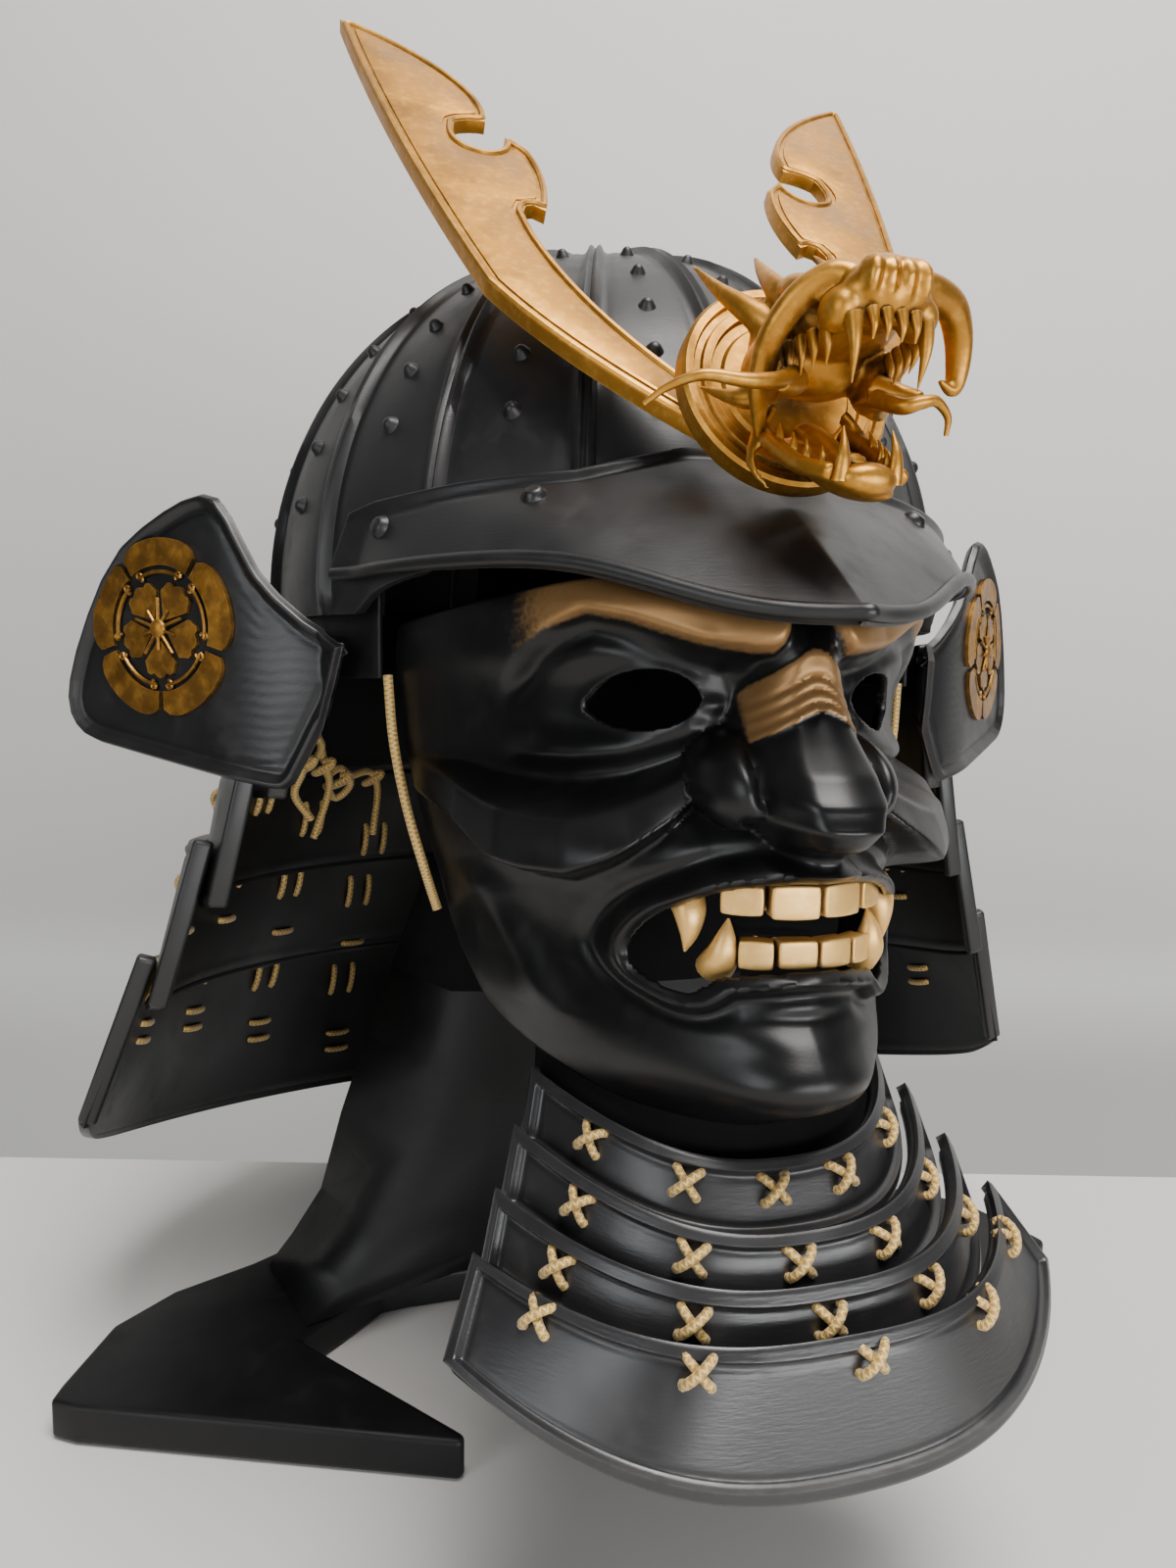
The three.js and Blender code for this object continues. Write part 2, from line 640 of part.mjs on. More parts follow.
function throatLame(lame) {
  return plate({
    across: 18,
    down: 3,
    skin: (s, t, depth) => {
      const side = 2 * s - 1;
      const bend = 1 - Math.abs(side) ** THROAT_SQUARE;
      const sag = 1 - side ** 2;
      const x = side * mix(lame.topX, lame.lowX, t);
      const y = mix(mix(lame.topY, lame.midY, bend), mix(lame.lowY, lame.dropY, bend), t);
      const z = mix(mix(lame.topZ, lame.midZ, sag), mix(lame.lowZ, lame.dropZ, sag), t);
      return new THREE.Vector3(x * (1 - depth * 0.03), y + depth * THROAT_WALL, z);
    },
  });
}

// ---- cords and bracket ----
function maskCord() {
  const route = [[-83.3, -77, 241], [-81.8, -78, 222], [-78, -79.5, 202], [-73, -81, 184], [-69.6, -82, 173]];
  return bar(route, () => CORD_RADIUS, 14, 8);
}

function maskBracket() {
  const arm = new THREE.BoxGeometry(16, 126, 7);
  arm.translate(0, -87.5, 256);
  return fromManifold(toManifold(arm));
}

add('stand_base', standBase(), black);
add('stand_post', standPost(), black);
add('stand_pad', standPad(), black);
add('helmet_bowl', helmetBowl(), black);
add('crown_boss', crownBoss(), black);
add('visor', visor(), black);
NECK_LAMES.forEach((lame, k) => add(`neck_lame_${k + 1}`, neckLame(lame), black));
addPair('turnback', turnback(), black);
addPair('crest_flower', crestFlower(), gold);
addPair('crest_blade', crestBlade(), gold);
add('crest_disc', crestDisc(), gold);
add('dragon_skull', dragonSkull(), gold);
add('dragon_jaw', dragonJaw(), gold);
addPair('dragon_whisker', dragonWhisker(), gold);
add('mask_shell', maskShell(), black);
add('teeth_upper', teeth(192, 7, 24, -14, 21.5), gold);
add('teeth_lower', teeth(176, 7, 17.5, 11, 14.5), gold);
THROAT_LAMES.forEach((lame, k) => add(`throat_lame_${k + 1}`, throatLame(lame), black));
addPair('mask_cord', maskCord(), braid);
add('mask_bracket', maskBracket(), black);

export default part;
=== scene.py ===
"""A samurai helmet with its face mask, throat guard and neck guard, on a display stand.

Lengths are written in millimetres in the part's own frame and brought to metres as each piece is kept.
The wearer faces -Y, and +X is the wearer's left.
"""
import math

import bpy
import bmesh
import numpy as np
from mathutils import Matrix, Vector


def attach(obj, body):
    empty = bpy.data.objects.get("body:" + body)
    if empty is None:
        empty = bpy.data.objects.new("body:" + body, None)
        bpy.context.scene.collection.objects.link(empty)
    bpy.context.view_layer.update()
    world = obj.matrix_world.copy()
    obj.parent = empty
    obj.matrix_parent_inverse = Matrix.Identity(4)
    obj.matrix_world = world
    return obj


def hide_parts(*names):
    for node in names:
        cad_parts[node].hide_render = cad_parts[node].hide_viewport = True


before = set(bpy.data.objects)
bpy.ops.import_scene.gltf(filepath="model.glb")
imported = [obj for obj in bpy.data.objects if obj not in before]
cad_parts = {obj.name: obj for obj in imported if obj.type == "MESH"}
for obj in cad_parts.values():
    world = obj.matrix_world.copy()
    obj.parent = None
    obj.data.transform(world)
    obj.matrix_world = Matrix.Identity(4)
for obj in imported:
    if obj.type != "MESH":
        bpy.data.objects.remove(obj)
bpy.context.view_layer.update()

MM = 0.001
RIGHT, LEFT = -1, 1
SIDE_NAMES = {RIGHT: "right", LEFT: "left"}

# ---- camera ----
VIEW_TURN, VIEW_PITCH, VIEW_ROLL = math.radians(-15.93), math.radians(6.10), math.radians(0.992)
CAMERA_PLACE = (-107.916, -374.796, 241.875)
LENS, SENSOR = 23.30, 36


def add_camera():
    """A wide lens close in front of the right cheek, looking slightly down."""
    turn, pitch, roll = VIEW_TURN, VIEW_PITCH, VIEW_ROLL
    back = Vector((math.sin(turn) * math.cos(pitch), -math.cos(turn) * math.cos(pitch), math.sin(pitch)))
    level = Vector((math.cos(turn), math.sin(turn), 0))
    upward = back.cross(level)
    across = level * math.cos(roll) + upward * math.sin(roll)
    up = upward * math.cos(roll) - level * math.sin(roll)
    data = bpy.data.cameras.new("camera")
    data.lens, data.sensor_width = LENS, SENSOR
    camera = bpy.data.objects.new("camera", data)
    bpy.context.scene.collection.objects.link(camera)
    turned = Matrix((across, up, back)).transposed()
    camera.matrix_world = Matrix.Translation(Vector(CAMERA_PLACE) * MM) @ turned.to_4x4()
    data.clip_start, data.clip_end = 0.01, 20
    bpy.context.scene.camera = camera


# ---- numbers along lines ----
def smooth_route(points, count):
    """A smooth line of count places through the given points."""
    points = np.array(points, float)
    padded = np.vstack([2 * points[0] - points[1], points, 2 * points[-1] - points[-2]])
    place = np.linspace(0, len(points) - 1, count)
    index = np.minimum(place.astype(int), len(points) - 2)
    t = (place - index)[:, None]
    a, b, c, d = (padded[index + k] for k in range(4))
    square, cube = 2 * a - 5 * b + 4 * c - d, 3 * b - a - 3 * c + d
    return 0.5 * (2 * b + (c - a) * t + square * t ** 2 + cube * t ** 3)


def table_at(rows, place):
    """Reads a table of number rows smoothly at each place from 0 to 1."""
    line = smooth_route(rows, 400)
    last = len(line) - 1
    spot = np.clip(place, 0, 1) * last
    index = np.minimum(spot.astype(int), last - 1)
    t = (spot - index)[..., None]
    return line[index] * (1 - t) + line[index + 1] * t


def ease(t):
    """0 below 0, 1 above 1, and a soft S between."""
    t = np.clip(t, 0, 1)
    return t * t * (3 - 2 * t)


def mix(a, b, t):
    return a + (b - a) * t


def spread(t, length, border, share):
    """Turns t from 0 to 1 into a distance that passes the two borders slowly, so they get more cells."""
    return np.interp(t, [0, share, 1 - share, 1], [0, border, length - border, length])


def frames_along(line):
    """Tangent, normal and binormal at each place, carried along without twist."""
    tangent = np.gradient(line, axis=0)
    tangent /= np.linalg.norm(tangent, axis=1)[:, None]
    start = np.cross(tangent[0], [0.13, 0.21, 0.97])
    if np.linalg.norm(start) < 0.2:
        start = np.cross(tangent[0], [1.0, 0, 0])
    normals = [start / np.linalg.norm(start)]
    for k in range(1, len(line)):
        n = normals[-1] - tangent[k] * np.dot(normals[-1], tangent[k])
        normals.append(n / np.linalg.norm(n))
    normal = np.array(normals)
    return tangent, normal, np.cross(tangent, normal)


# ---- mesh makers ----
def sheet(columns, rows, place):
    """A grid whose corners go where place(u, v) says, with u and v from 0 to 1 kept as its UV map."""
    bm = bmesh.new()
    bmesh.ops.create_grid(bm, x_segments=columns, y_segments=rows, size=0.5)
    flat = np.array([v.co[:2] for v in bm.verts]) + 0.5
    uv = bm.loops.layers.uv.new("uv")
    for face in bm.faces:
        for loop in face.loops:
            loop[uv].uv = flat[loop.vert.index]
    spots = place(flat[:, 0], flat[:, 1])
    for vert, spot in zip(bm.verts, spots):
        vert.co = spot
    return bm


def stack(*parts):
    """Rows of (x, y, z) or (x, z) from separate numbers or arrays."""
    return np.stack(np.broadcast_arrays(*parts), axis=-1)


def tube(route, girth, steps, sides, flatten=1.0, turns=1.0):
    """A closed tube along a route; girth(t) is its radius. Its UV map runs along and around it."""
    line = smooth_route(route, steps + 1)
    _, normal, side = frames_along(line)
    length = np.linalg.norm(np.diff(line, axis=0), axis=1).sum()

    def place(u, v):
        index = np.rint(u * steps).astype(int)
        angle = v * 2 * math.pi
        radius = np.array([girth(t) for t in np.linspace(0, 1, steps + 1)])[index][:, None]
        out = normal[index] * np.cos(angle)[:, None] + side[index] * np.sin(angle)[:, None] * flatten
        return line[index] + out * radius

    bm = sheet(steps, sides, place)
    uv = bm.loops.layers.uv.active
    for face in bm.faces:
        for loop in face.loops:
            loop[uv].uv = (loop[uv].uv[0] * length * MM, loop[uv].uv[1] * turns)
    bmesh.ops.remove_doubles(bm, verts=bm.verts, dist=1e-4)
    bmesh.ops.holes_fill(bm, edges=[e for e in bm.edges if e.is_boundary], sides=0)
    bmesh.ops.recalc_face_normals(bm, faces=bm.faces)
    return bm


def ball(centre, size, tip=0.0, rings=12):
    """A rounded lump, tipped about the X axis."""
    bm = bmesh.new()
    bmesh.ops.create_uvsphere(bm, u_segments=rings * 2, v_segments=rings, radius=1)
    place = Matrix.Translation(centre) @ Matrix.Rotation(tip, 4, "X") @ Matrix.Diagonal((*size, 1))
    bmesh.ops.transform(bm, matrix=place, verts=bm.verts)
    return bm


def together(parts):
    """Joins several meshes into one."""
    whole = bmesh.new()
    for part in parts:
        scratch = bpy.data.meshes.new("scratch")
        part.to_mesh(scratch)
        part.free()
        whole.from_mesh(scratch)
        bpy.data.meshes.remove(scratch)
    return whole


def mirrored(bm):
    """A mirror image of the mesh across the helmet's middle."""
    twin = bm.copy()
    bmesh.ops.scale(twin, vec=(-1, 1, 1), verts=twin.verts)
    bmesh.ops.reverse_faces(twin, faces=twin.faces)
    return twin


def face_out(bm, centre):
    """Turns an open sheet so that its faces look away from centre."""
    bmesh.ops.recalc_face_normals(bm, faces=bm.faces)
    centre = Vector(centre)
    outward = [(f.calc_center_median() - centre).normalized().dot(f.normal) * f.calc_area()
               for f in bm.faces]
    if sum(outward) < 0:
        bmesh.ops.reverse_faces(bm, faces=bm.faces)
    return bm


def shown(name, bm, finish):
    """An object with this mesh and finish, in the scene."""
    mesh = bpy.data.meshes.new(name)
    bm.to_mesh(mesh)
    bm.free()
    mesh.materials.append(finish)
    piece = bpy.data.objects.new(name, mesh)
    bpy.context.scene.collection.objects.link(piece)
    return piece


def keep(name, bm, finish, stands_for=(), crease=40):
    """Brings a mesh to metres and keeps it as a piece of the helmet."""
    bmesh.ops.scale(bm, vec=(MM, MM, MM), verts=bm.verts)
    piece = shown(name, bm, finish)
    piece.data.shade_smooth()
    piece.data.set_sharp_from_angle(angle=math.radians(crease))
    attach(piece, "root")
    if stands_for:
        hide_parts(*stands_for)
    return piece


def wall(piece, thick, edge=0.5, steps=2):
    """Gives an open sheet its thickness, inwards, and rounds the new edges."""
    solid = piece.modifiers.new("wall", "SOLIDIFY")
    solid.thickness = thick * MM
    solid.offset = -1
    solid.use_even_offset = False
    if edge:
        soft = piece.modifiers.new("edge", "BEVEL")
        soft.width = edge * MM
        soft.segments = steps
        soft.limit_method = "ANGLE"
        soft.angle_limit = math.radians(50)
    return piece


def soften(bm, verts, passes):
    """Moves each vertex half way towards its neighbours, several times over."""
    for _ in range(passes):
        bmesh.ops.smooth_vert(bm, verts=verts, factor=0.5, use_axis_x=True, use_axis_y=True, use_axis_z=True)


def remelt(bm, name, grain=0.62, passes=3):
    """Melts overlapping closed shapes into one skin with cells of the given size, then smooths it."""
    mesh = bpy.data.meshes.new("scratch_" + name)
    bm.to_mesh(mesh)
    bm.free()
    rough = bpy.data.objects.new("scratch_" + name, mesh)
    bpy.context.scene.collection.objects.link(rough)
    melt = rough.modifiers.new("melt", "REMESH")
    melt.mode = "VOXEL"
    melt.voxel_size = grain
    melt.use_smooth_shade = True
    solved = rough.evaluated_get(bpy.context.evaluated_depsgraph_get())
    skin = bmesh.new()
    skin.from_mesh(solved.to_mesh())
    solved.to_mesh_clear()
    bpy.data.objects.remove(rough)
    soften(skin, skin.verts, passes)
    return skin


def lathe(profile, steps):
    """A closed round shape from its outline, given as radius and height."""
    bm = bmesh.new()
    verts = [bm.verts.new((r, 0, z)) for r, z in profile]
    edges = [bm.edges.new(pair) for pair in zip(verts, verts[1:])]
    bmesh.ops.spin(bm, geom=verts + edges, cent=(0, 0, 0), axis=(0, 0, 1), angle=2 * math.pi, steps=steps,
                   use_merge=True, use_duplicate=False)
    bmesh.ops.remove_doubles(bm, verts=bm.verts, dist=1e-3)
    bmesh.ops.holes_fill(bm, edges=[e for e in bm.edges if e.is_boundary], sides=0)
    bmesh.ops.recalc_face_normals(bm, faces=bm.faces)
    return bm


def from_node(node):
    """A welded copy of a CAD node, in millimetres, with its flat faces whole."""
    bm = bmesh.new()
    bm.from_mesh(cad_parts[node].data)
    bmesh.ops.scale(bm, vec=(1 / MM,) * 3, verts=bm.verts)
    bmesh.ops.remove_doubles(bm, verts=bm.verts, dist=1e-3)
    bmesh.ops.dissolve_limit(bm, angle_limit=math.radians(1), verts=bm.verts, edges=bm.edges)
    return bm


def round_edges(bm, width, segments=2, over=30):
    """Rounds every edge sharper than over degrees."""
    edges = [e for e in bm.edges if len(e.link_faces) == 2 and e.calc_face_angle() > math.radians(over)]
    bmesh.ops.bevel(bm, geom=edges, offset=width, offset_type="OFFSET", segments=segments, profile=0.5,
                    affect="EDGES", material=-1, clamp_overlap=True)
    return bm


# ---- finishes ----
class Finish:
    """A short way to write a material's nodes."""

    def __init__(self, name):
        self.material = bpy.data.materials.new(name)
        self.material.use_nodes = True
        self.nodes = self.material.node_tree.nodes
        self.links = self.material.node_tree.links
        self.shader = self.nodes["Principled BSDF"]

    def put(self, kind, settings=None, **inputs):
        """A new node with its settings and inputs; an input called n0 goes by its number."""
        made = self.nodes.new("ShaderNode" + kind)
        for key, value in (settings or {}).items():
            setattr(made, key, value)
        for key, value in inputs.items():
            self.feed(made, key.replace("_", " "), value)
        return made

    def feed(self, made, key, value):
        socket = made.inputs[int(key[1:])] if key[0] == "n" and key[1:].isdigit() else made.inputs[key]
        if isinstance(value, bpy.types.NodeSocket):
            self.links.new(value, socket)
        else:
            socket.default_value = value

    def spots(self, stretch=(1, 1, 1)):
        place = self.put("TexCoord").outputs["Object"]
        return self.put("Mapping", Vector=place, Scale=stretch).outputs["Vector"]

    def noise(self, scale, detail=3.0, stretch=(1, 1, 1)):
        made = self.put("TexNoise", Vector=self.spots(stretch), Scale=scale, Detail=detail, Roughness=0.55)
        return made.outputs["Fac"]

    def sum(self, how, a, b):
        return self.put("Math", {"operation": how}, n0=a, n1=b).outputs[0]

    def bend(self, value, low, high, to_low=0.0, to_high=1.0):
        made = self.put("MapRange", Value=value)
        made.interpolation_type = "SMOOTHSTEP"
        for key, number in (("From Min", low), ("From Max", high), ("To Min", to_low), ("To Max", to_high)):
            self.feed(made, key, number)
        return made.outputs[0]

    def blend(self, share, a, b):
        made = self.put("Mix", {"data_type": "RGBA"})
        self.feed(made, "Factor", share)
        for socket, value in ((made.inputs[6], a), (made.inputs[7], b)):
            if isinstance(value, bpy.types.NodeSocket):
                self.links.new(value, socket)
            else:
                socket.default_value = (*value, 1)
        return made.outputs[2]

    def edges(self, radius):
        """1 on edges and 0 on flats."""
        soft = self.put("Bevel", {"samples": 4}, Radius=radius * MM).outputs[0]
        hard = self.put("NewGeometry").outputs["Normal"]
        dot = self.put("VectorMath", {"operation": "DOT_PRODUCT"}, n0=soft, n1=hard).outputs["Value"]
        return self.bend(dot, 0.97, 0.72)

    def bump(self, height, strength, distance, under=None):
        made = self.put("Bump", Height=height, Strength=strength, Distance=distance * MM)
        if under is not None:
            self.feed(made, "Normal", under)
        return made.outputs[0]


# satin black: its deep and pale patches, and dust
SATIN_TONES = [(0.0055, 0.0056, 0.0064), (0.0105, 0.0104, 0.0110), (0.019, 0.0165, 0.015)]
RUBBED_GREY = (0.085, 0.083, 0.082)


def satin_black(name, worn=0.5, gloss=0.42, layer=0.15, depth=1.0, ior=1.5):
    """Satin black paint over a printed shell: fine grain, faint layer lines and edges rubbed grey."""
    f = Finish(name)
    cloudy = f.noise(38, 5)
    grain = f.noise(1400, 2)
    streaks = f.noise(260, 3, (1, 1, 7))
    rubbed = f.sum("MULTIPLY", f.edges(1.1), f.bend(f.noise(210, 4), 0.36, 0.62, 0.15, 1.0))
    dust = f.bend(f.noise(90, 6), 0.52, 0.78, 0, 0.35)
    deep, pale, dirt = (tuple(c * depth for c in tone) for tone in SATIN_TONES)
    dusty = f.blend(dust, f.blend(cloudy, deep, pale), dirt)
    f.feed(f.shader, "Base Color", f.blend(f.sum("MULTIPLY", rubbed, worn), dusty, RUBBED_GREY))
    dull = f.bend(cloudy, 0.3, 0.7, gloss - 0.05, gloss + 0.06)
    f.feed(f.shader, "Roughness", f.sum("ADD", dull, f.sum("MULTIPLY", dust, 0.3)))
    fine = f.bump(grain, 0.10, 0.12)
    f.feed(f.shader, "Normal", f.bump(streaks, layer, 0.15, fine))
    f.shader.inputs["IOR"].default_value = ior
    return f


# gold paint: the painted shade of its hollows, its two body tones, and its rubbed edges and flecks
GOLD_AND_SHADE_TONES = [(0.085, 0.048, 0.018), (0.40, 0.175, 0.022), (0.56, 0.262, 0.034), (0.84, 0.48, 0.11)]
TOOTH_AND_SHADE_TONES = [(0.14, 0.062, 0.013), (0.74, 0.42, 0.11), (0.86, 0.53, 0.17), (1.0, 0.74, 0.34)]


def gold_nodes(f, tones, reach):
    """Colour and roughness of antique gold paint, darkened by painted shade within reach of hollows."""
    # painted shade: ambient occlusion blends the gold towards its shade tone near hollows
    hollow_shade = f.put("AmbientOcclusion", {"samples": 6}, Distance=reach * MM).outputs["AO"]
    patch = f.noise(75, 5)
    flecks = f.bend(f.noise(420, 3), 0.45, 0.7)
    shade, body, light, worn_bright = tones
    shaded = f.blend(f.bend(hollow_shade, 0.25, 0.85), shade, f.blend(patch, body, light))
    rubbed = f.sum("MULTIPLY", f.edges(0.9), f.bend(f.noise(160, 3), 0.3, 0.6, 0.2, 0.9))
    bright = f.blend(rubbed, shaded, worn_bright)
    color = f.blend(f.sum("MULTIPLY", flecks, 0.3), bright, worn_bright)
    return color, f.bend(patch, 0.3, 0.7, 0.34, 0.47)


def gold_paint(name, worn=0.0, tones=GOLD_AND_SHADE_TONES, reach=7, metal=0.85):
    """Antique gold paint, darkened by painted shade in its hollows; worn lets the dark ground show through it."""
    f = Finish(name)
    color, rough = gold_nodes(f, tones, reach)
    if worn:
        bare = f.sum("MULTIPLY", f.bend(f.noise(190, 5), 0.35, 0.62), worn)
        color = f.blend(f.sum("ADD", bare, 0.25), color, (0.09, 0.045, 0.015))
    f.feed(f.shader, "Base Color", color)
    f.feed(f.shader, "Roughness", rough)
    f.shader.inputs["Metallic"].default_value = metal
    fine = f.bump(f.noise(1100, 2), 0.12, 0.12)
    f.feed(f.shader, "Normal", f.bump(f.noise(300, 4, (1, 1, 3)), 0.12, 0.3, fine))
    return f.material


def mask_paint(name):
    """Satin black, in a darker copy that paints in shade, with gold sprayed where the gilt attribute says."""
    # painted shade: depth 0.45 makes the mask's black a darker copy of the satin black
    f = satin_black(name, worn=0.25, gloss=0.34, layer=0.06, depth=0.45, ior=1.42)
    gilt = f.put("Attribute", {"attribute_name": "gilt"}).outputs["Fac"]
    speckle = f.sum("ADD", gilt, f.bend(f.noise(700, 3), 0.3, 0.7, -0.10, 0.10))
    share = f.bend(speckle, 0.1, 0.9)
    black = f.shader.inputs["Base Color"].links[0].from_socket
    dull = f.shader.inputs["Roughness"].links[0].from_socket
    body = f.blend(f.noise(75, 5), (0.22, 0.118, 0.045), (0.36, 0.205, 0.08))
    f.feed(f.shader, "Base Color", f.blend(share, black, body))
    rough = f.put("Mix", {"data_type": "FLOAT"}, Factor=share, n2=dull, n3=0.42)
    f.feed(f.shader, "Roughness", rough.outputs[0])
    f.feed(f.shader, "Metallic", f.sum("MULTIPLY", share, 0.55))
    return f.material


def braided_cord(name, pitch=1.25):
    """Two crossing runs of strands, drawn along and around each cord, with painted shade where the strands sink
    between each other.
    """
    f = Finish(name)
    where = f.put("SeparateXYZ", Vector=f.put("UVMap").outputs["UV"])
    along = f.sum("MULTIPLY", where.outputs["X"], 1 / (pitch * MM))
    around = where.outputs["Y"]
    phases = [f.sum("MULTIPLY", f.sum(how, along, around), 2 * math.pi) for how in ("ADD", "SUBTRACT")]
    runs = [f.sum("SINE", phase, 0.0) for phase in phases]
    height = f.bend(f.sum("MAXIMUM", *runs), -0.2, 1.0)
    threads = f.noise(2600, 2)
    # painted shade: the colour goes dark where the braid height is low, between the strands
    tone = f.blend(f.sum("MULTIPLY", threads, height), (0.42, 0.25, 0.06), (0.95, 0.68, 0.25))
    f.feed(f.shader, "Base Color", tone)
    f.shader.inputs["Roughness"].default_value = 0.48
    f.shader.inputs["Metallic"].default_value = 0.25
    f.shader.inputs["Sheen Weight"].default_value = 0.3
    fine = f.bump(threads, 0.25, 0.1)
    f.feed(f.shader, "Normal", f.bump(height, 0.6, 0.25, fine))
    return f.material


def painted_shade_finish(name):
    """Matt near-black that stands in for shade: painted shade inside the mask, behind its chin and on the stand's
    upper post.
    """
    f = Finish(name)
    f.feed(f.shader, "Base Color", f.blend(f.noise(120, 4), (0.0025, 0.0025, 0.003), (0.006, 0.006, 0.006)))
    f.shader.inputs["Roughness"].default_value = 0.85
    f.shader.inputs["Specular IOR Level"].default_value = 0.12
    f.feed(f.shader, "Normal", f.bump(f.noise(900, 2), 0.2, 0.2))
    return f.material


# painted shade: a matt near-black laid where shade falls
PAINTED_SHADE = painted_shade_finish("matt_painted_shade")
BLACK = satin_black("armour_black", gloss=0.38, layer=0.2, depth=0.85).material
# painted highlight: a paler copy of the satin black for the throat lames, standing in for the sheen of light on
# them
THROAT_SHEEN_BLACK = satin_black("throat_black_painted_sheen", gloss=0.34, layer=0.3, depth=1.9, ior=1.6).material
BLACK_SHELL = satin_black("bowl_black", worn=0.35, gloss=0.44, layer=0.2).material
STAND_BLACK = satin_black("stand_black", worn=0.55, gloss=0.46, layer=0.3, depth=0.55, ior=1.34).material
GOLD = gold_paint("gold_paint")
RUBBED_GOLD = gold_paint("rubbed_gold", 0.45)
MASK_BLACK = mask_paint("mask_black_and_gold")
TOOTH_GOLD = gold_paint("tooth_gold", tones=TOOTH_AND_SHADE_TONES, reach=2.2, metal=0.55)
CORD = braided_cord("gold_cord")

# ---- mask cords ----
MASK_CORD_ROUTE = [(-83.3, -77, 241), (-81.8, -78, 222), (-78, -79.5, 202), (-73, -81, 184),
                   (-69.6, -82, 173)]
CORD_RADIUS = 1.4


def mask_cord(side):
    """A braided cord down the edge of the mask, from its temple to its jaw."""
    route = [(-side * x, y, z) for x, y, z in MASK_CORD_ROUTE]
    bm = tube(route, lambda t: CORD_RADIUS, 60, 12, turns=2)
    line = smooth_route(route, 40) * MM
    length = float(np.linalg.norm(np.diff(line, axis=0), axis=1).sum())
    name = f"mask_cord_{SIDE_NAMES[side]}"
    piece = keep("braided_" + name, bm, CORD, [name])
    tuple(line[0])


# ---- helmet bowl ----
BOWL_HALF, BOWL_FRONT, BOWL_REAR, BOWL_TALL, BOWL_LEVEL = 116, 134, 112, 120, 265
BOWL_RIM, BROW_RIM, BROW_ARCH = 258, 271, 52
RIB_COUNT, RIB_HEIGHT, RIB_RADIUS = 18, 2.0, 122
STUD_RISES = [13, 22, 31, 40, 50, 61]
VISOR_SPAN = math.radians(53)


def bowl_point(turn, rise, lift):
    """A place on the bowl: turn runs round it from the front, rise goes up to the crown."""
    forward = np.cos(turn)
    depth = np.where(forward > 0, BOWL_FRONT, BOWL_REAR)
    x = (BOWL_HALF + lift) * np.sin(turn) * np.cos(rise)
    y = -(depth + lift) * forward * np.cos(rise)
    return stack(x, y, BOWL_LEVEL + (BOWL_TALL + lift) * np.sin(rise))


def bowl_rim_rise(turn):
    """The rise of the bowl's rim, arched over the brow."""
    away = np.minimum(np.abs(np.degrees(turn)) / BROW_ARCH, 1)
    level = mix(BOWL_RIM, BROW_RIM, np.sqrt(1 - away ** 4))
    return np.arcsin((level - BOWL_LEVEL) / BOWL_TALL)


def rib_lift(turn, rise):
    """Height of the raised ribs: each has two fine crests and fades near the crown."""
    step = 2 * math.pi / RIB_COUNT
    off = (turn / step - np.rint(turn / step)) * step
    apart = np.abs(off) * RIB_RADIUS * np.cos(rise)
    crest = np.exp(-((apart - 1.5) / 0.9) ** 2) + 0.55 * np.exp(-(apart / 1.6) ** 2)
    valley = -0.35 * np.exp(-((apart - 4.2) / 1.2) ** 2)
    return (RIB_HEIGHT * np.minimum(crest, 1.15) + valley) * ease((1.42 - rise) / 0.12)


def helmet_bowl():
    """The ribbed bowl, with its columns packed closer on the ribs."""
    def place(u, v):
        cell = u * RIB_COUNT
        near = cell - np.rint(cell)
        packed = np.rint(cell) + np.sign(near) * (np.abs(near) * 2) ** 1.8 / 2
        turn = np.clip(packed / RIB_COUNT * 2 * math.pi - math.pi, -math.pi, math.pi)
        low = bowl_rim_rise(turn)
        rise = mix(low, math.pi / 2, v)
        return bowl_point(turn, rise, rib_lift(turn, rise) * ease((rise - low) / 0.05))

    bm = sheet(RIB_COUNT * 22, 54, place)
    bmesh.ops.remove_doubles(bm, verts=bm.verts, dist=1e-3)
    face_out(bm, (0, 0, 280))
    wall(keep("ribbed_bowl", bm, BLACK_SHELL, ["helmet_bowl"], crease=50), 3.0, 0.8)


def bowl_studs():
    """Cone-headed studs in rows between the ribs; the visor takes the place of the lowest row."""
    parts = []
    for k in range(RIB_COUNT):
        turn = 2 * math.pi * (k + 0.5) / RIB_COUNT
        under_visor = abs(math.remainder(turn, 2 * math.pi)) < VISOR_SPAN + 0.1
        for row, rise in enumerate(STUD_RISES):
            if not (under_visor and row == 0):
                parts.append(stud(turn, math.radians(rise), 0.2, 3.1 - 0.15 * row))
    keep("bowl_studs", together(parts), BLACK_SHELL, crease=35)


def stud(turn, rise, lift, radius, height=2.6):
    """One stud standing on the bowl."""
    bm = bmesh.new()
    bmesh.ops.create_cone(bm, cap_ends=True, segments=16, radius1=radius, radius2=radius * 0.42,
                          depth=height)
    top = [e for e in bm.edges if all(v.co.z > 0 for v in e.verts)]
    bmesh.ops.bevel(bm, geom=top, offset=radius * 0.3, offset_type="OFFSET", segments=2, profile=0.5,
                    affect="EDGES", material=-1)
    spot, out = stud_place(turn, rise, lift)
    turned = out.to_track_quat("Z", "Y").to_matrix().to_4x4()
    place = Matrix.Translation(spot + out * (height * 0.32)) @ turned
    bmesh.ops.transform(bm, matrix=place, verts=bm.verts)
    return bm


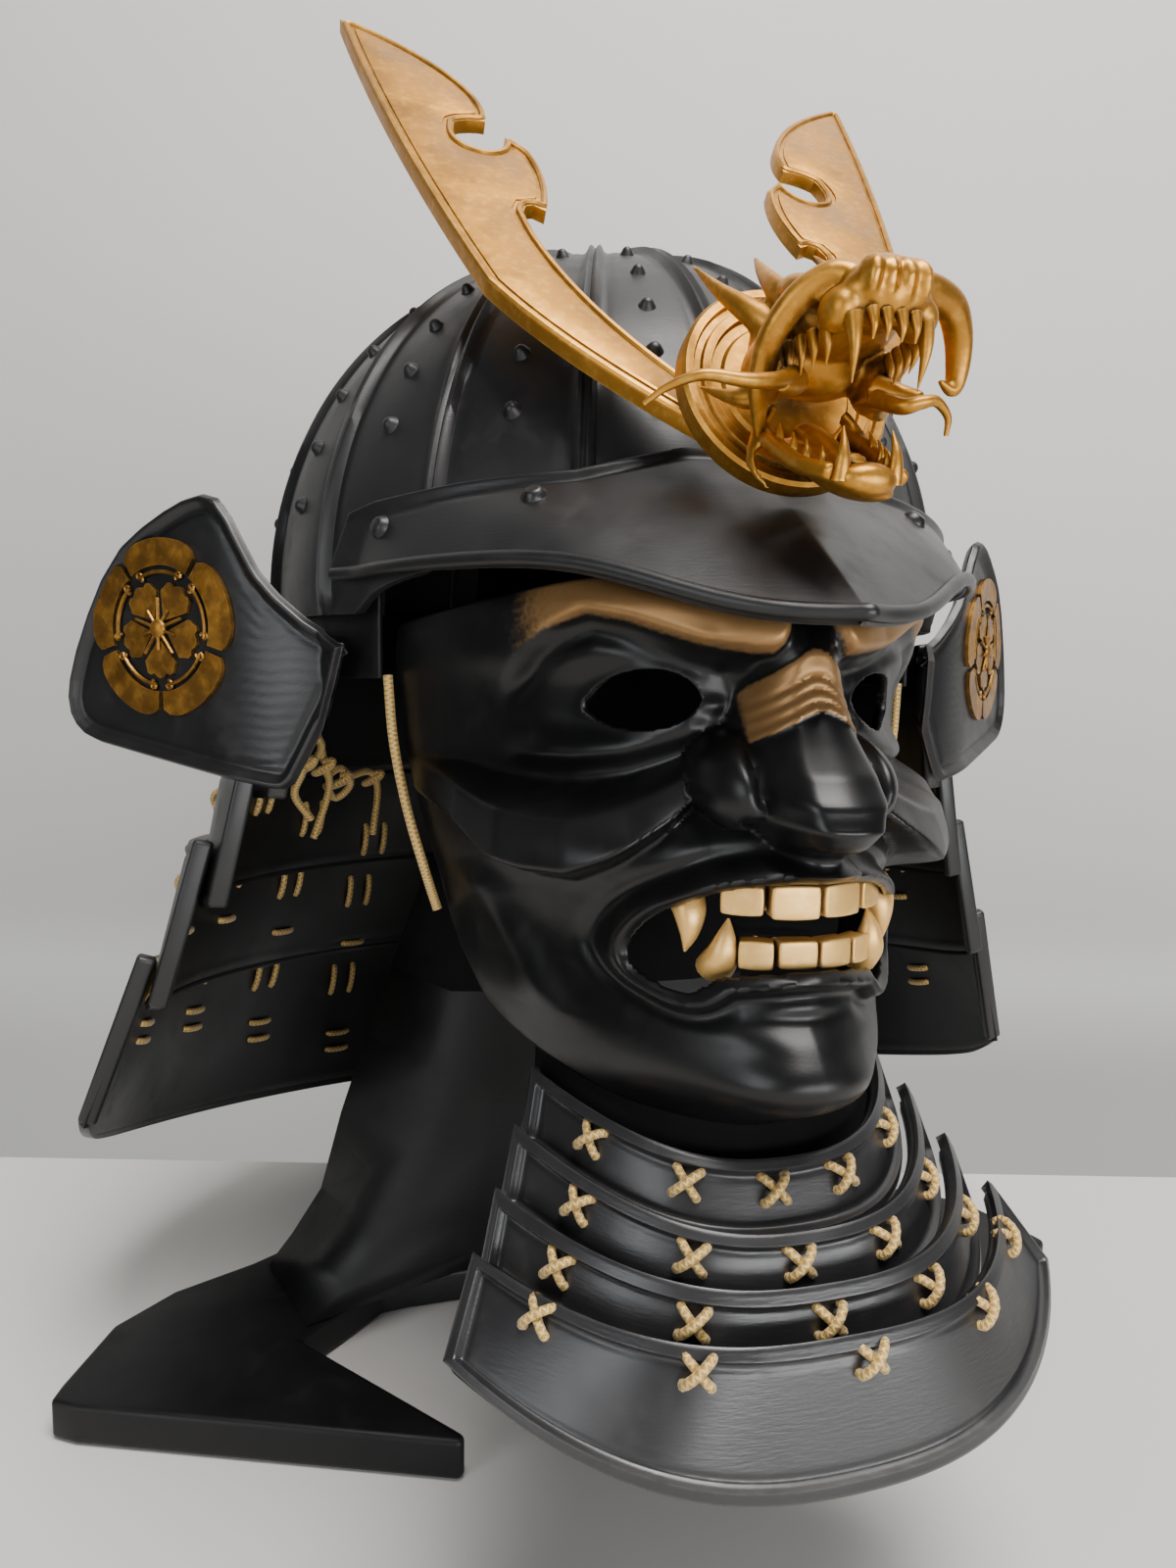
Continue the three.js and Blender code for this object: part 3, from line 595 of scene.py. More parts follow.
def stud_place(turn, rise, lift):
    """A place on the bowl and the way out of it."""
    spot = Vector(bowl_point(np.array(turn), np.array(rise), lift))
    ahead = Vector(bowl_point(np.array(turn + 0.01), np.array(rise), lift)) - spot
    above = Vector(bowl_point(np.array(turn), np.array(rise + 0.01), lift)) - spot
    out = ahead.cross(above).normalized()
    if out.dot(spot - Vector((0, 0, BOWL_LEVEL))) < 0:
        out.negate()
    return spot, out


def crown_boss():
    """A stepped round boss where the ribs meet."""
    profile = [(15, 386.4), (15, 388), (13.5, 389), (9, 389.4), (8, 390.6), (4, 391.1), (0, 391.2)]
    keep("crown_boss_turned", lathe(profile, 48), BLACK_SHELL, ["crown_boss"], crease=25)


# ---- visor ----
VISOR_HALF, VISOR_ROOT, VISOR_REACH = 95, -72, 128
VISOR_LIFT = 3.4
# the visor's upper edge: degrees from the front, and height
VISOR_TOP = [(0, 297), (8, 297), (21, 291), (35, 289), (48, 286.5), (53, 284)]


def visor_rim(side):
    """The peaked lower edge, from the visor's right end at -1 to its left at 1."""
    inward = 1 - np.abs(side) ** 1.5
    x = np.sign(side) * VISOR_HALF * (1 - inward ** 1.7)
    y = VISOR_ROOT - VISOR_REACH * inward + 4 * np.exp(-((x / 14) ** 2))
    return stack(x, y, 268.4 - 13.6 * np.exp(-np.abs((x / 40) ** 3)))


def visor_top_rise(turn):
    level = np.interp(np.abs(np.degrees(turn)), *zip(*VISOR_TOP))
    return np.arcsin((level - BOWL_LEVEL) / BOWL_TALL)


def clear_of_bowl(points, lift):
    """Moves places outwards in plan until they clear the bowl by lift."""
    up = (points[:, 2] - BOWL_LEVEL) / (BOWL_TALL + lift)
    out = np.hypot(points[:, 0] / (BOWL_HALF + lift), points[:, 1] / (BOWL_FRONT + lift))
    needed = np.sqrt(np.maximum(1 - up * up, 0))
    grow = np.maximum(needed / np.maximum(out, 1e-6), 1)
    points[:, 0] *= grow
    points[:, 1] *= grow
    return points


def visor_point(side, t):
    """A place on the visor: side runs from its right end to its left, t from its top edge to its rim."""
    turn = side * VISOR_SPAN
    top = bowl_point(turn, visor_top_rise(turn), VISOR_LIFT)
    rim = visor_rim(side)
    tall = np.linalg.norm(rim - top, axis=1)
    out = stack(np.sin(turn) * 0.6, -np.cos(turn) * 0.6, np.full_like(turn, 0.8))
    swell = 1.5 * np.sin(t * math.pi) * np.cos(side * math.pi / 2)
    away = np.minimum(t * tall, (1 - np.abs(side)) * 118)
    lift = 1.5 * np.exp(-((away - 1.6) / 1.5) ** 2) - 0.4 * np.exp(-((away - 4.6) / 0.9) ** 2)
    return clear_of_bowl(top + (rim - top) * t[:, None] + out * (swell + lift)[:, None], VISOR_LIFT)


def visor_studs():
    """Two low studs on each side of the visor's upper band."""
    parts = []
    for degrees, t in ((-46, 0.40), (-27, 0.27), (27, 0.27), (46, 0.40)):
        side = degrees / math.degrees(VISOR_SPAN)
        steps = ((0, 0), (0.01, 0), (0, 0.03))
        spot, ahead, below = (Vector(visor_point(np.array([side + a]), np.array([t + b]))[0]) for a,
                              b in steps)
        out = (ahead - spot).cross(below - spot).normalized()
        if out.z < 0:
            out.negate()
        bm = bmesh.new()
        bmesh.ops.create_cone(bm, cap_ends=True, segments=20, radius1=3.6, radius2=2.0, depth=2.2)
        round_edges(bm, 0.5, 2, 40)
        turned = out.to_track_quat("Z", "Y").to_matrix().to_4x4()
        bmesh.ops.transform(bm, matrix=Matrix.Translation(spot + out * 0.9) @ turned, verts=bm.verts)
        parts.append(bm)
    keep("visor_studs", together(parts), BLACK, crease=35)


BAND_INSET, BAND_TOP, BAND_FOOT = 7.0, 266.0, 240.0


def inner_band():
    """The headband inside the bowl, hanging a little below its rim at the sides and back."""
    def place(u, v):
        turn = mix(math.radians(52), math.radians(308), u)
        forward = np.cos(turn)
        depth = np.where(forward > 0, BOWL_FRONT, BOWL_REAR) - BAND_INSET
        return stack((BOWL_HALF - BAND_INSET) * np.sin(turn), -depth * forward, mix(BAND_TOP, BAND_FOOT, v))

    bm = face_out(sheet(120, 6, place), (0, 0, 250))
    wall(keep("inner_headband", bm, STAND_BLACK, crease=60), 1.6, 0.4)


def visor():
    """The brow visor with a raised line along its upper border and a rolled rim."""
    def place(u, v):
        return visor_point(2 * u - 1, spread(v, 1, 0.16, 0.35))

    bm = sheet(180, 40, place)
    face_out(bm, (0, -60, 230))
    wall(keep("brow_visor", bm, BLACK, ["visor"], crease=50), 3.0, 1.2, 3)
    rim = visor_rim(np.linspace(-0.985, 0.985, 60))
    rim[:, 2] += 0.4
    roll = tube(clear_of_bowl(rim, 3.0), lambda t: 1.9, 160, 10)
    keep("visor_rolled_rim", roll, BLACK, crease=60)


# ---- lacing ----
def strand(spots, radius=1.08, lift=1.3, outward=(0, 0, 1)):
    """A short cord between two holes, arched off the surface."""
    a, b = (np.array(p, float) for p in spots)
    out = np.array(outward, float)
    sunk, rise = out * 1.2, out * lift
    route = [a - sunk, a + rise * 0.6, (a + b) / 2 + rise * 1.25, b + rise * 0.6, b - sunk]
    return tube(route, lambda t: radius, 10, 8, turns=2)


def cross_stitch(surface, u, v, reach):
    """Two cords crossed over four holes on a lame."""
    spot, across, down, out = surface_frame(surface, u, v)
    ways = (-across - down, across + down, down - across, across - down)
    corners = [spot + way * reach for way in ways]
    return [strand(corners[:2], outward=out, lift=1.2), strand(corners[2:], outward=out, lift=2.6)]


def surface_frame(surface, u, v):
    """Place, the two directions along a lame and the way out of it."""
    e = 0.004
    places = ((u, v), (u + e, v), (u, v + e))
    spot, ahead, below = (surface(np.array([a]), np.array([b]))[0] for a, b in places)
    across = (ahead - spot) / np.linalg.norm(ahead - spot)
    down = (below - spot) / np.linalg.norm(below - spot)
    out = np.cross(across, down)
    down = np.cross(out, across)
    out /= np.linalg.norm(out)
    down /= np.linalg.norm(down)
    if np.dot(out[:2], spot[:2]) < 0:
        out = -out
    return spot, across, down, out


# ---- neck guard ----
# the upper and lower edge of each lame: half width, height at its ends,
# depth and height at the back, and where its ends are
NECK_LAMES = [
    (dict(half=119, z=255, rear=116, low=255, end=-55), dict(half=127, z=203, rear=122, low=194, end=-53)),
    (dict(half=133.5, z=212, rear=127.5, low=206, end=-47), dict(half=143, z=168, rear=134, low=150,
                                                                 end=-43)),
    (dict(half=145, z=188, rear=138, low=172, end=-37), dict(half=160, z=134, rear=146, low=104, end=-33)),
    (dict(half=162, z=149, rear=149, low=118, end=-28), dict(half=182, z=90, rear=158, low=30, end=-15)),
]
LAME_WALL = 3.4


def neck_surface(lame, inward=0.0):
    """Where a lame's skin runs: s from end to end, t from its upper edge down."""
    top, low = lame

    def place(s, t):
        edge = {key: mix(top[key], low[key], t) for key in top}
        end = edge["end"] / BOWL_FRONT
        limit = np.arccos(end)
        turn = mix(-limit, limit, s)
        back = np.cos(turn)
        depth = np.where(back > 0, edge["rear"] - inward, BOWL_FRONT)
        share = np.maximum((back - end) / (1 - end), 0) ** 0.7
        half = edge["half"] - inward
        return stack(-half * np.sin(turn), depth * back, mix(edge["z"], edge["low"], share))
    return place


def neck_lame(number, lame):
    """A hanging lame with a raised line along its border and thick front ends."""
    surface = neck_surface(lame)
    tall = lame[0]["z"] - lame[1]["z"]
    long = 470 + 60 * number

    def place(u, v):
        s = spread(u, 1, 10 / long, 0.10)
        t = spread(v, 1, 6 / tall, 0.3)
        point = surface(s, t)
        away = np.minimum(np.minimum(s, 1 - s) * long, np.minimum(t, 1 - t) * tall)
        lift = 0.8 * np.exp(-((away - 2.2) / 0.9) ** 2) - 0.3 * np.exp(-((away - 4.4) / 0.8) ** 2)
        out = point * [1, 1, 0]
        out /= np.linalg.norm(out, axis=1)[:, None]
        return point + out * lift[:, None]

    bm = sheet(170, 22, place)
    face_out(bm, (0, 0, lame[0]["z"]))
    wall(keep(f"laced_neck_lame_{number}", bm, BLACK, [f"neck_lame_{number}"], crease=50),
         LAME_WALL, 1.0, 3)
    parts = []
    for end in (0.0, 1.0):
        rail = surface(np.full(12, end), np.linspace(0, 1, 12))
        parts.append(rail_bar(rail * [0.985, 1, 1]))
    keep(f"neck_lame_end_{number}", together(parts), BLACK, crease=40)


def rail_bar(line):
    """A thick rounded strip down the front end of a lame."""
    start, stop = Vector(line[0]), Vector(line[-1])
    bm = bmesh.new()
    bmesh.ops.create_cube(bm, size=1)
    length = (stop - start).length
    way = (stop - start).normalized()
    side = Vector((math.copysign(1, start.x), 0, 0))
    side = (side - way * side.dot(way)).normalized()
    fore = way.cross(side)
    basis = Matrix((side, fore, way)).transposed().to_4x4()
    bmesh.ops.transform(bm, matrix=Matrix.Diagonal((6.2, 4.4, length, 1)), verts=bm.verts)
    round_edges(bm, 1.3, 3)
    bmesh.ops.transform(bm, matrix=Matrix.Translation((start + stop) / 2) @ basis, verts=bm.verts)
    return bm


COLUMN_DEGREES = [16.75 * k for k in range(-5, 6)]
# rows of inner lacing: lame, t at the column by the stand, t near the front, kind
INNER_ROWS = [
    (2, 0.78, 0.30, "bars"), (3, 0.54, 0.26, "bars"), (3, 0.93, 0.58, "dash"),
    (4, 0.34, 0.12, "bars"), (4, 0.67, 0.36, "dash"), (4, 0.77, 0.46, "dash"),
]


def neck_lacing():
    """Crossed cords outside each lame and pairs of bars inside."""
    def column(lame, degrees):
        return 0.5 + degrees / (2 * math.degrees(math.acos(lame[0]["end"] / BOWL_FRONT)))

    parts = []
    for number, lame in enumerate(NECK_LAMES, start=1):
        for degrees in COLUMN_DEGREES:
            down = 0.30 if number > 1 else 0.6
            parts += cross_stitch(neck_surface(lame), column(lame, degrees), down, reach=3.6)
    for number, deep, shallow, kind in INNER_ROWS:
        lame = NECK_LAMES[number - 1]
        inside = neck_surface(lame, LAME_WALL)
        for degrees in COLUMN_DEGREES:
            u = column(lame, degrees)
            v = float(np.interp(abs(degrees), [34, 68], [deep, shallow]))
            spot, across, down, out = surface_frame(inside, u, v)
            for shift in ((-5.2, 5.2) if kind == "bars" else (0,)):
                way = down * 6.4 if kind == "bars" else across * 5.0
                centre = spot + across * shift
                parts.append(strand((centre - way, centre + way), radius=1.3, outward=-out, lift=1.2))
    keep("neck_lacing", together(parts), CORD, crease=60)


def loose_lacing():
    """Knotted ends of the lacing inside the neck guard, below each turnback."""
    parts = []
    runs = [
        [(-112, 8, 214), (-107, 12, 206), (-110, 16, 196), (-104, 20, 186)],
        [(-106, 14, 222), (-100, 20, 214), (-104, 26, 206)],
        [(-103, 24, 224), (-99, 30, 208), (-97, 34, 196), (-103, 38, 176)],
        [(-98, 40, 200), (-92, 44, 203), (-88, 50, 196), (-94, 52, 190), (-98, 46, 196)],
        [(-90, 52, 198), (-80, 60, 200), (-76, 66, 192), (-78, 68, 172)],
    ]
    for run in runs:
        parts.append(tube(run, lambda t: 1.5, 24, 8, turns=2))
    for centre in ((-106, 14, 207), (-99, 29, 205), (-92, 46, 198), (-78, 63, 197)):
        knot = [(3.4 * math.cos(a * 1.3), 3.0 * math.sin(a), 2.6 * math.cos(a + 1))
                for a in np.linspace(0, 6, 9)]
        parts.append(tube([np.array(centre) + k for k in knot], lambda t: 1.5, 28, 8, turns=2))
    whole = together(parts)
    keep("loose_lacing_left", mirrored(whole), CORD, crease=60)
    keep("loose_lacing_right", whole, CORD, crease=60)


# ---- turnbacks ----
LEAF_ROOT = np.array([-113, -60.5, 0])
LEAF_ALONG = np.array([-0.745, 0.667, 0])
LEAF_OUT = np.array([-0.667, -0.745, 0])
# the leaf's upper and lower edge: how far along it, and height
LEAF_TOP = [(-23, 249), (-15, 252.5), (-8.2, 257), (0, 264), (6, 270.5), (11, 279), (15.6, 286.7),
            (20.5, 292.2),
            (26.6, 293.8), (34, 292.6), (41.6, 289.9), (51, 285.6), (60.5, 280), (70, 270), (77, 259),
            (83, 247.5),
            (86.6, 238), (87.6, 232)]
LEAF_LOW = [(-23, 249), (-19, 239), (-13, 226.5), (-8, 216), (-4, 208.5), (-1, 206.4), (3, 206.6),
            (26.4, 210),
            (55.7, 214.6), (74, 217.6), (80, 219.6), (84, 222.6), (86.6, 226.5), (87.6, 232)]


def leaf_point(s, z, out):
    curl = 7 * np.maximum(0, 1 - np.abs(s + 12) / 34) ** 2
    base = LEAF_ROOT + s[:, None] * LEAF_ALONG + (out - curl)[:, None] * LEAF_OUT
    base[:, 2] = z
    return base


def turnback():
    """The leaf with its rolled rim and its brushed, slightly crumpled skin."""
    outline = np.array(LEAF_TOP + LEAF_LOW[-2:0:-1] + LEAF_TOP[:1], float)

    def place(u, v):
        s = mix(-23, 87.6, 0.5 - 0.5 * np.cos(math.pi * mix(u, 0.5 - 0.5 * np.cos(math.pi * u), 0.2)))
        t = spread(v, 1, 0.12, 0.28)
        z = mix(np.interp(s, *zip(*LEAF_TOP)), np.interp(s, *zip(*LEAF_LOW)), t)
        away, _, _ = near_line(s, z, outline)
        roll = (1.9 * np.exp(-((away - 1.5) / 1.7) ** 2) - 0.45 * np.exp(-((away - 4.9) / 1.2) ** 2)
                - 1.2 * (1 - ease(away / 1.1)))
        crumple = 0.10 * np.sin(z * 1.9 + 0.7 * np.sin(s * 0.4)) * np.exp(-((s - 4) / 14) ** 2)
        crumple += 0.08 * np.sin(z * 3.1 + s * 0.25) * np.exp(-((s - 2) / 10) ** 2)
        return leaf_point(s, z, 3.2 + roll + crumple * ease((away - 3) / 3))

    bm = sheet(130, 84, place)
    bmesh.ops.remove_doubles(bm, verts=bm.verts, dist=0.05)
    bmesh.ops.dissolve_degenerate(bm, dist=0.02, edges=bm.edges)
    return face_out(bm, (0, 0, 240))


def crest_relief():
    """Five lobes, a ring with curled ends and a five-petalled flower, in low relief on the leaf."""
    parts = []
    middle, size = (44.5, 254.0), 27.6

    def plate_of(outline, height, level):
        bm = bmesh.new()
        ring = [bm.verts.new((x, y, 0)) for x, y in outline]
        face = bm.faces.new(ring)
        inner = bmesh.ops.inset_region(bm, faces=[face], thickness=0.9, depth=0, use_even_offset=True)
        lifted = bmesh.ops.extrude_face_region(bm, geom=list(bm.faces))
        tops = [g for g in lifted["geom"] if isinstance(g, bmesh.types.BMVert)]
        bmesh.ops.translate(bm, vec=(0, 0, height), verts=tops)
        bmesh.ops.triangulate(bm, faces=[f for f in bm.faces if len(f.verts) > 4])
        bmesh.ops.recalc_face_normals(bm, faces=bm.faces)
        spots = np.array([v.co for v in bm.verts])
        flat = leaf_point(middle[0] + 1.07 * spots[:, 0], middle[1] + spots[:, 1], level + spots[:, 2])
        for vert, spot in zip(bm.verts, flat):
            vert.co = spot
        return bm

    def lobe(centre, spread_turn, inner, outer, count=14):
        bow = np.linspace(-1, 1, count)
        out = [(outer * (1 - 0.10 * abs(b) ** 6) * math.sin(centre + spread_turn * b),
                outer * (1 - 0.10 * abs(b) ** 6) * math.cos(centre + spread_turn * b)) for b in bow]
        back = [(inner * math.sin(centre + spread_turn * b), inner * math.cos(centre + spread_turn * b))
                for b in bow[::-1]]
        return out + back

    for k in range(5):
        centre = math.radians(0 + 72 * k)
        parts.append(plate_of(lobe(centre, math.radians(33.5), size * 0.70, size), 1.3, 3.3))
    for k in range(5):
        centre = math.radians(36 + 72 * k)
        petal = []
        for b in np.linspace(-1, 1, 13):
            reach = size * (0.50 + 0.055 * abs(math.cos(b * 3.3 * math.pi / 2)) - 0.10 * abs(b) ** 3)
            petal.append((reach * math.sin(centre + math.radians(31) * b),
                          reach * math.cos(centre + math.radians(31) * b)))
        petal.append((size * 0.11 * math.sin(centre), size * 0.11 * math.cos(centre)))
        parts.append(plate_of(petal, 1.2, 3.3))

    def rod(points, radius, level=4.1):
        line = np.array(points, float)
        spots = leaf_point(middle[0] + 1.07 * line[:, 0], middle[1] + line[:, 1], np.full(len(line), level))
        return tube(spots, lambda t: radius, max(10, 3 * len(points)), 6)

    for k in range(5):
        start = math.radians(36 + 72 * k)
        turn = np.linspace(start + 0.14, start + math.radians(72) - 0.14, 12)
        parts.append(rod([(size * 0.63 * math.sin(a), size * 0.63 * math.cos(a)) for a in turn], 0.65))
        for way in (-1, 1):
            a = start + way * 0.13
            curl = [(size * (0.63 + 0.05 * math.sin(q)) * math.sin(a + way * 0.05 * (1 - math.cos(q))),
                     size * (0.63 + 0.05 * math.sin(q)) * math.cos(a + way * 0.05 * (1 - math.cos(q))))
                    for q in np.linspace(0, 4.6, 7)]
            parts.append(rod(curl, 0.55))
        a = math.radians(72 * k)
        parts.append(rod([(r * math.sin(a), r * math.cos(a)) for r in (size * 0.10, size * 0.2,
                                                                       size * 0.34)], 0.55, 4.9))
        b = math.radians(36 + 72 * k)
        parts.append(rod([(r * math.sin(b), r * math.cos(b)) for r in (size * 0.10, size * 0.16,
                                                                       size * 0.24)], 0.5, 5.0))
    hub = ball((0, 0, 0), (3.0, 3.0, 1.6))
    spots = np.array([v.co for v in hub.verts])
    for vert, spot in zip(hub.verts, leaf_point(middle[0] + 1.07 * spots[:, 0], middle[1] + spots[:, 1],
                                                4.9 + spots[:, 2])):
        vert.co = spot
    parts.append(hub)
    return together(parts)


def add_turnbacks():
    leaf, relief = turnback(), crest_relief()
    twin_leaf, twin_relief = mirrored(leaf), mirrored(relief)
    for side, plate_mesh, crest_mesh in ((RIGHT, leaf, relief), (LEFT, twin_leaf, twin_relief)):
        name = SIDE_NAMES[side]
        wall(keep(f"turnback_leaf_{name}", plate_mesh, BLACK, [f"turnback_{name}"],
                  crease=60), 3.2, 0.9, 2)
        keep(f"flower_crest_{name}", crest_mesh, RUBBED_GOLD, [f"crest_flower_{name}"],
             crease=35)


# ---- front crest ----
CREST_LEAN = math.radians(42.7)
BLADE_PLANE, BLADE_THICK = 313, 4.5
# corners and the curve handles between them, in the blade's own plane (across, up)
BLADE_OUTLINE = [
    ((-92, 334), (-82, 250), (-61.5, 174)), ((-61.5, 174), (-47, 146), (-15, 117)),
    ((-15, 117), (-14, 126), (-13, 134)), ((-13, 134), (-37, 164), (-44.8, 201)),
    ((-44.8, 201), (-46, 208), (-46.5, 214)), ((-46.5, 214), (-45, 223), (-39.5, 217)),
    ((-39.5, 217), (-34.5, 236), (-39.5, 254)), ((-39.5, 254), (-43, 257), (-45.6, 262)),
    ((-45.6, 262), (-46.5, 249), (-54, 249)), ((-54, 249), (-64, 251), (-60.5, 267)),
    ((-60.5, 267), (-56, 271), (-50.5, 271)), ((-50.5, 271), (-48, 283), (-57, 299)),
    ((-57, 299), (-68, 319), (-92, 334)),
]


def lean_back(bm):
    """Turns a flat blade into the crest's leaning plane."""
    up = Vector((0, math.sin(CREST_LEAN), math.cos(CREST_LEAN)))
    out = Vector((0, -math.cos(CREST_LEAN), math.sin(CREST_LEAN)))
    basis = Matrix((Vector((1, 0, 0)), up, out)).transposed().to_4x4()
    bmesh.ops.transform(bm, matrix=Matrix.Translation(out * (BLADE_PLANE - BLADE_THICK)) @ basis,
                        verts=bm.verts)
    return bm


def blade_ring():
    """The blade's outline as a close row of places."""
    ring = []
    for a, handle, b in BLADE_OUTLINE:
        a, handle, b = (np.array(p, float) for p in (a, handle, b))
        count = max(3, int(np.linalg.norm(b - a) / 2))
        for t in np.linspace(0, 1, count, endpoint=False):
            ring.append(a * (1 - t) ** 2 + 2 * handle * t * (1 - t) + b * t * t)
    return np.array(ring)


def inset_ring(ring, by):
    """The outline moved inwards, without the places that would come too near another edge."""
    way = np.roll(ring, -1, axis=0) - np.roll(ring, 1, axis=0)
    way /= np.linalg.norm(way, axis=1)[:, None]
    area = np.sum(ring[:, 0] * np.roll(ring[:, 1], -1) - np.roll(ring[:, 0], -1) * ring[:, 1])
    side = np.sign(area)
    inner = ring + by * side * np.stack([-way[:, 1], way[:, 0]], axis=1)
    far, _, _ = near_line(inner[:, 0], inner[:, 1], np.vstack([ring, ring[:1]]))
    return inner[far > by * 0.96]


def slab(ring, low, high, edge):
    """A flat plate with this outline, its upper edge rounded."""
    bm = bmesh.new()
    floor = bm.faces.new([bm.verts.new((x, y, low)) for x, y in ring])
    raised = bmesh.ops.extrude_face_region(bm, geom=[floor])
    tops = {g for g in raised["geom"] if isinstance(g, bmesh.types.BMVert)}
    bmesh.ops.translate(bm, vec=(0, 0, high - low), verts=list(tops))
    bmesh.ops.recalc_face_normals(bm, faces=bm.faces)
    rim = [e for e in bm.edges if all(v in tops for v in e.verts)]
    bmesh.ops.bevel(bm, geom=rim, offset=edge, offset_type="OFFSET", segments=2, profile=0.5, affect="EDGES",
                    material=-1, clamp_overlap=True)
    bmesh.ops.triangulate(bm, faces=[f for f in bm.faces if len(f.verts) > 4])
    return bm


def crest_blade():
    """A flat blade with a rounded rim and a raised panel inside it."""
    ring = blade_ring()
    line = inset_ring(ring, 1.15)
    rim = tube(np.column_stack([line, np.full(len(line), BLADE_THICK - 0.75)])[list(range(len(line))) + [0]],
               lambda t: 1.05, 3 * len(line), 8)
    parts = [slab(ring, 0, BLADE_THICK - 0.7, 0.3), slab(inset_ring(ring, 3.3), 1, BLADE_THICK - 0.1, 0.35),
             rim]
    return lean_back(together(parts))


def add_blades():
    blade = crest_blade()
    twin = mirrored(blade)
    keep("crest_horn_blade_right", blade, GOLD, ["crest_blade_right"], crease=30)
    keep("crest_horn_blade_left", twin, GOLD, ["crest_blade_left"], crease=30)


def crest_disc():
    """A round plate with ridged rings, leaning back under the dragon's head."""
    profile = [(0, 0), (24.6, 0), (25.4, 0.8), (25.4, 5.2), (24.6, 6.0), (22.9, 6.0), (22.4, 4.9),
               (21.0, 4.9),
               (20.5, 5.8), (18.6, 5.8), (18.1, 4.6), (16.0, 4.6), (15.2, 5.4), (0, 5.4)]
    bm = lathe(profile, 96)
    leaned = Matrix.Rotation(math.radians(70), 4, "X")
    bmesh.ops.transform(bm, matrix=Matrix.Translation((0, -151, 306.5)) @ leaned, verts=bm.verts)
    keep("crest_ringed_disc", bm, GOLD, ["crest_disc"], crease=25)


# ---- dragon ----
def both(route):
    return [[(side * x, y, z) for x, y, z in route] for side in (RIGHT, LEFT)]


def taper(wide, fine, power=1.0):
    return lambda t: mix(wide, fine, t ** power)


def swelling(wide):
    """Thin at both ends and wide in the middle of the length."""
    return lambda t: wide * (0.35 + 0.65 * math.sin(math.pi * t))


def dragon_head():
    parts = [
        ball((0, -168, 312), (15, 9, 10)), ball((0, -178, 315), (13, 12, 7)), ball((0, -190, 315.5), (10, 9, 5.5)),
        ball((0, -196.5, 314.5), (9.5, 5, 5.5)), ball((0, -196, 319.5), (4.4, 3.4, 2.6)),
    ]
    for sx in (-1, 1):
        parts.append(ball((sx * 4.6, -199, 316), (3.2, 2.6, 4.6)))
        parts.append(ball((sx * 8.6, -194, 311.5), (3.6, 5.0, 4.2)))
        parts.append(ball((sx * 13, -172, 306), (4.5, 8, 7)))
        parts.append(ball((sx * 9.5, -180, 320), (4.2, 6, 3.2), tip=0.4))
    horn = [(8, -172, 313), (14, -168, 318.5), (18.5, -160, 325.5), (21.5, -151, 333.5)]
    brow = [(7, -178, 317), (10.5, -172, 322.5), (10.5, -164, 329), (8.5, -155, 335.5)]
    small = [(0.3, -182, 318), (0.3, -175, 326), (0.3, -166, 333)]
    cheek = [(10, -172, 304), (15, -170, 301), (19, -166, 302), (23, -160, 305)]
    whisker_root = [(9, -178, 303), (13, -183, 300.5), (16, -186, 299.5)]
    near_lip = [(-5, -194, 317.5), (-9, -191, 318.5), (-14, -187, 315), (-17, -182, 308.5),
                (-16.5, -177, 302),
                (-14, -172, 296), (-12.5, -169, 291)]
    far_lip = [(5, -194, 317.5), (12, -192, 318.5), (20, -188, 317.5), (25, -184, 313), (26.5, -182, 307),
               (25.5, -182, 303), (21.5, -183, 304.5)]
    for route in both(horn):
        parts.append(tube(route, taper(4.6, 0.5, 0.9), 24, 12))
    for route in both(brow):
        parts.append(tube(route, taper(4.4, 0.5, 0.8), 20, 12))
    parts.append(tube(small, taper(3.0, 0.4, 0.8), 16, 10))
    for route in (near_lip, far_lip):
        parts.append(tube(route, lambda t: 3.5 * (1 - 0.80 * t ** 2.6), 40, 14, flatten=0.85))
    for x in (-5.2, -1.8, 1.8, 5.2):
        parts.append(tube([(x * 0.7, -198, 321), (x, -201.3, 317.5), (x * 1.1, -201, 312.5)], swelling(1.5),
                          12, 8))
    for route in both(cheek):
        parts.append(tube(route, taper(3.6, 0.5), 18, 10))
    for route in both(whisker_root):
        parts.append(tube(route, taper(3.2, 1.6), 12, 10))
    skin = remelt(together(parts), "skull")
    keep("dragon_upper_head", skin, GOLD, ["dragon_skull"], crease=180)
    teeth = []
    for sx in (-1, 1):
        for y, x, drop, wide in ((-198, 7.6, 9.5, 2.3), (-191.5, 9.6, 4.6, 1.5), (-187.5, 10.4, 4.4, 1.5),
                                 (-183.5, 11.0, 5.0, 1.5), (-179.5, 11.6, 5.2, 1.6), (-175.5, 11.9, 5.6, 1.6),
                                 (-171.5, 12.1, 5.6, 1.6)):
            route = [(sx * x, y, 309.5), (sx * x, y - 1.0, 307 - drop * 0.3),
                     (sx * (x - 0.5), y + 0.4, 307 - drop)]
            teeth.append(tube(route, taper(wide, 0.15, 1.2), 12, 8, flatten=0.8))
    for x in (-4.5, -1.6, 1.6, 4.5):
        route = [(x, -199.5, 310.5), (x, -200.5, 307.5), (x, -200, 305)]
        teeth.append(tube(route, taper(1.4, 0.2), 8, 8))
    keep("dragon_upper_teeth", together(teeth), GOLD, crease=60)


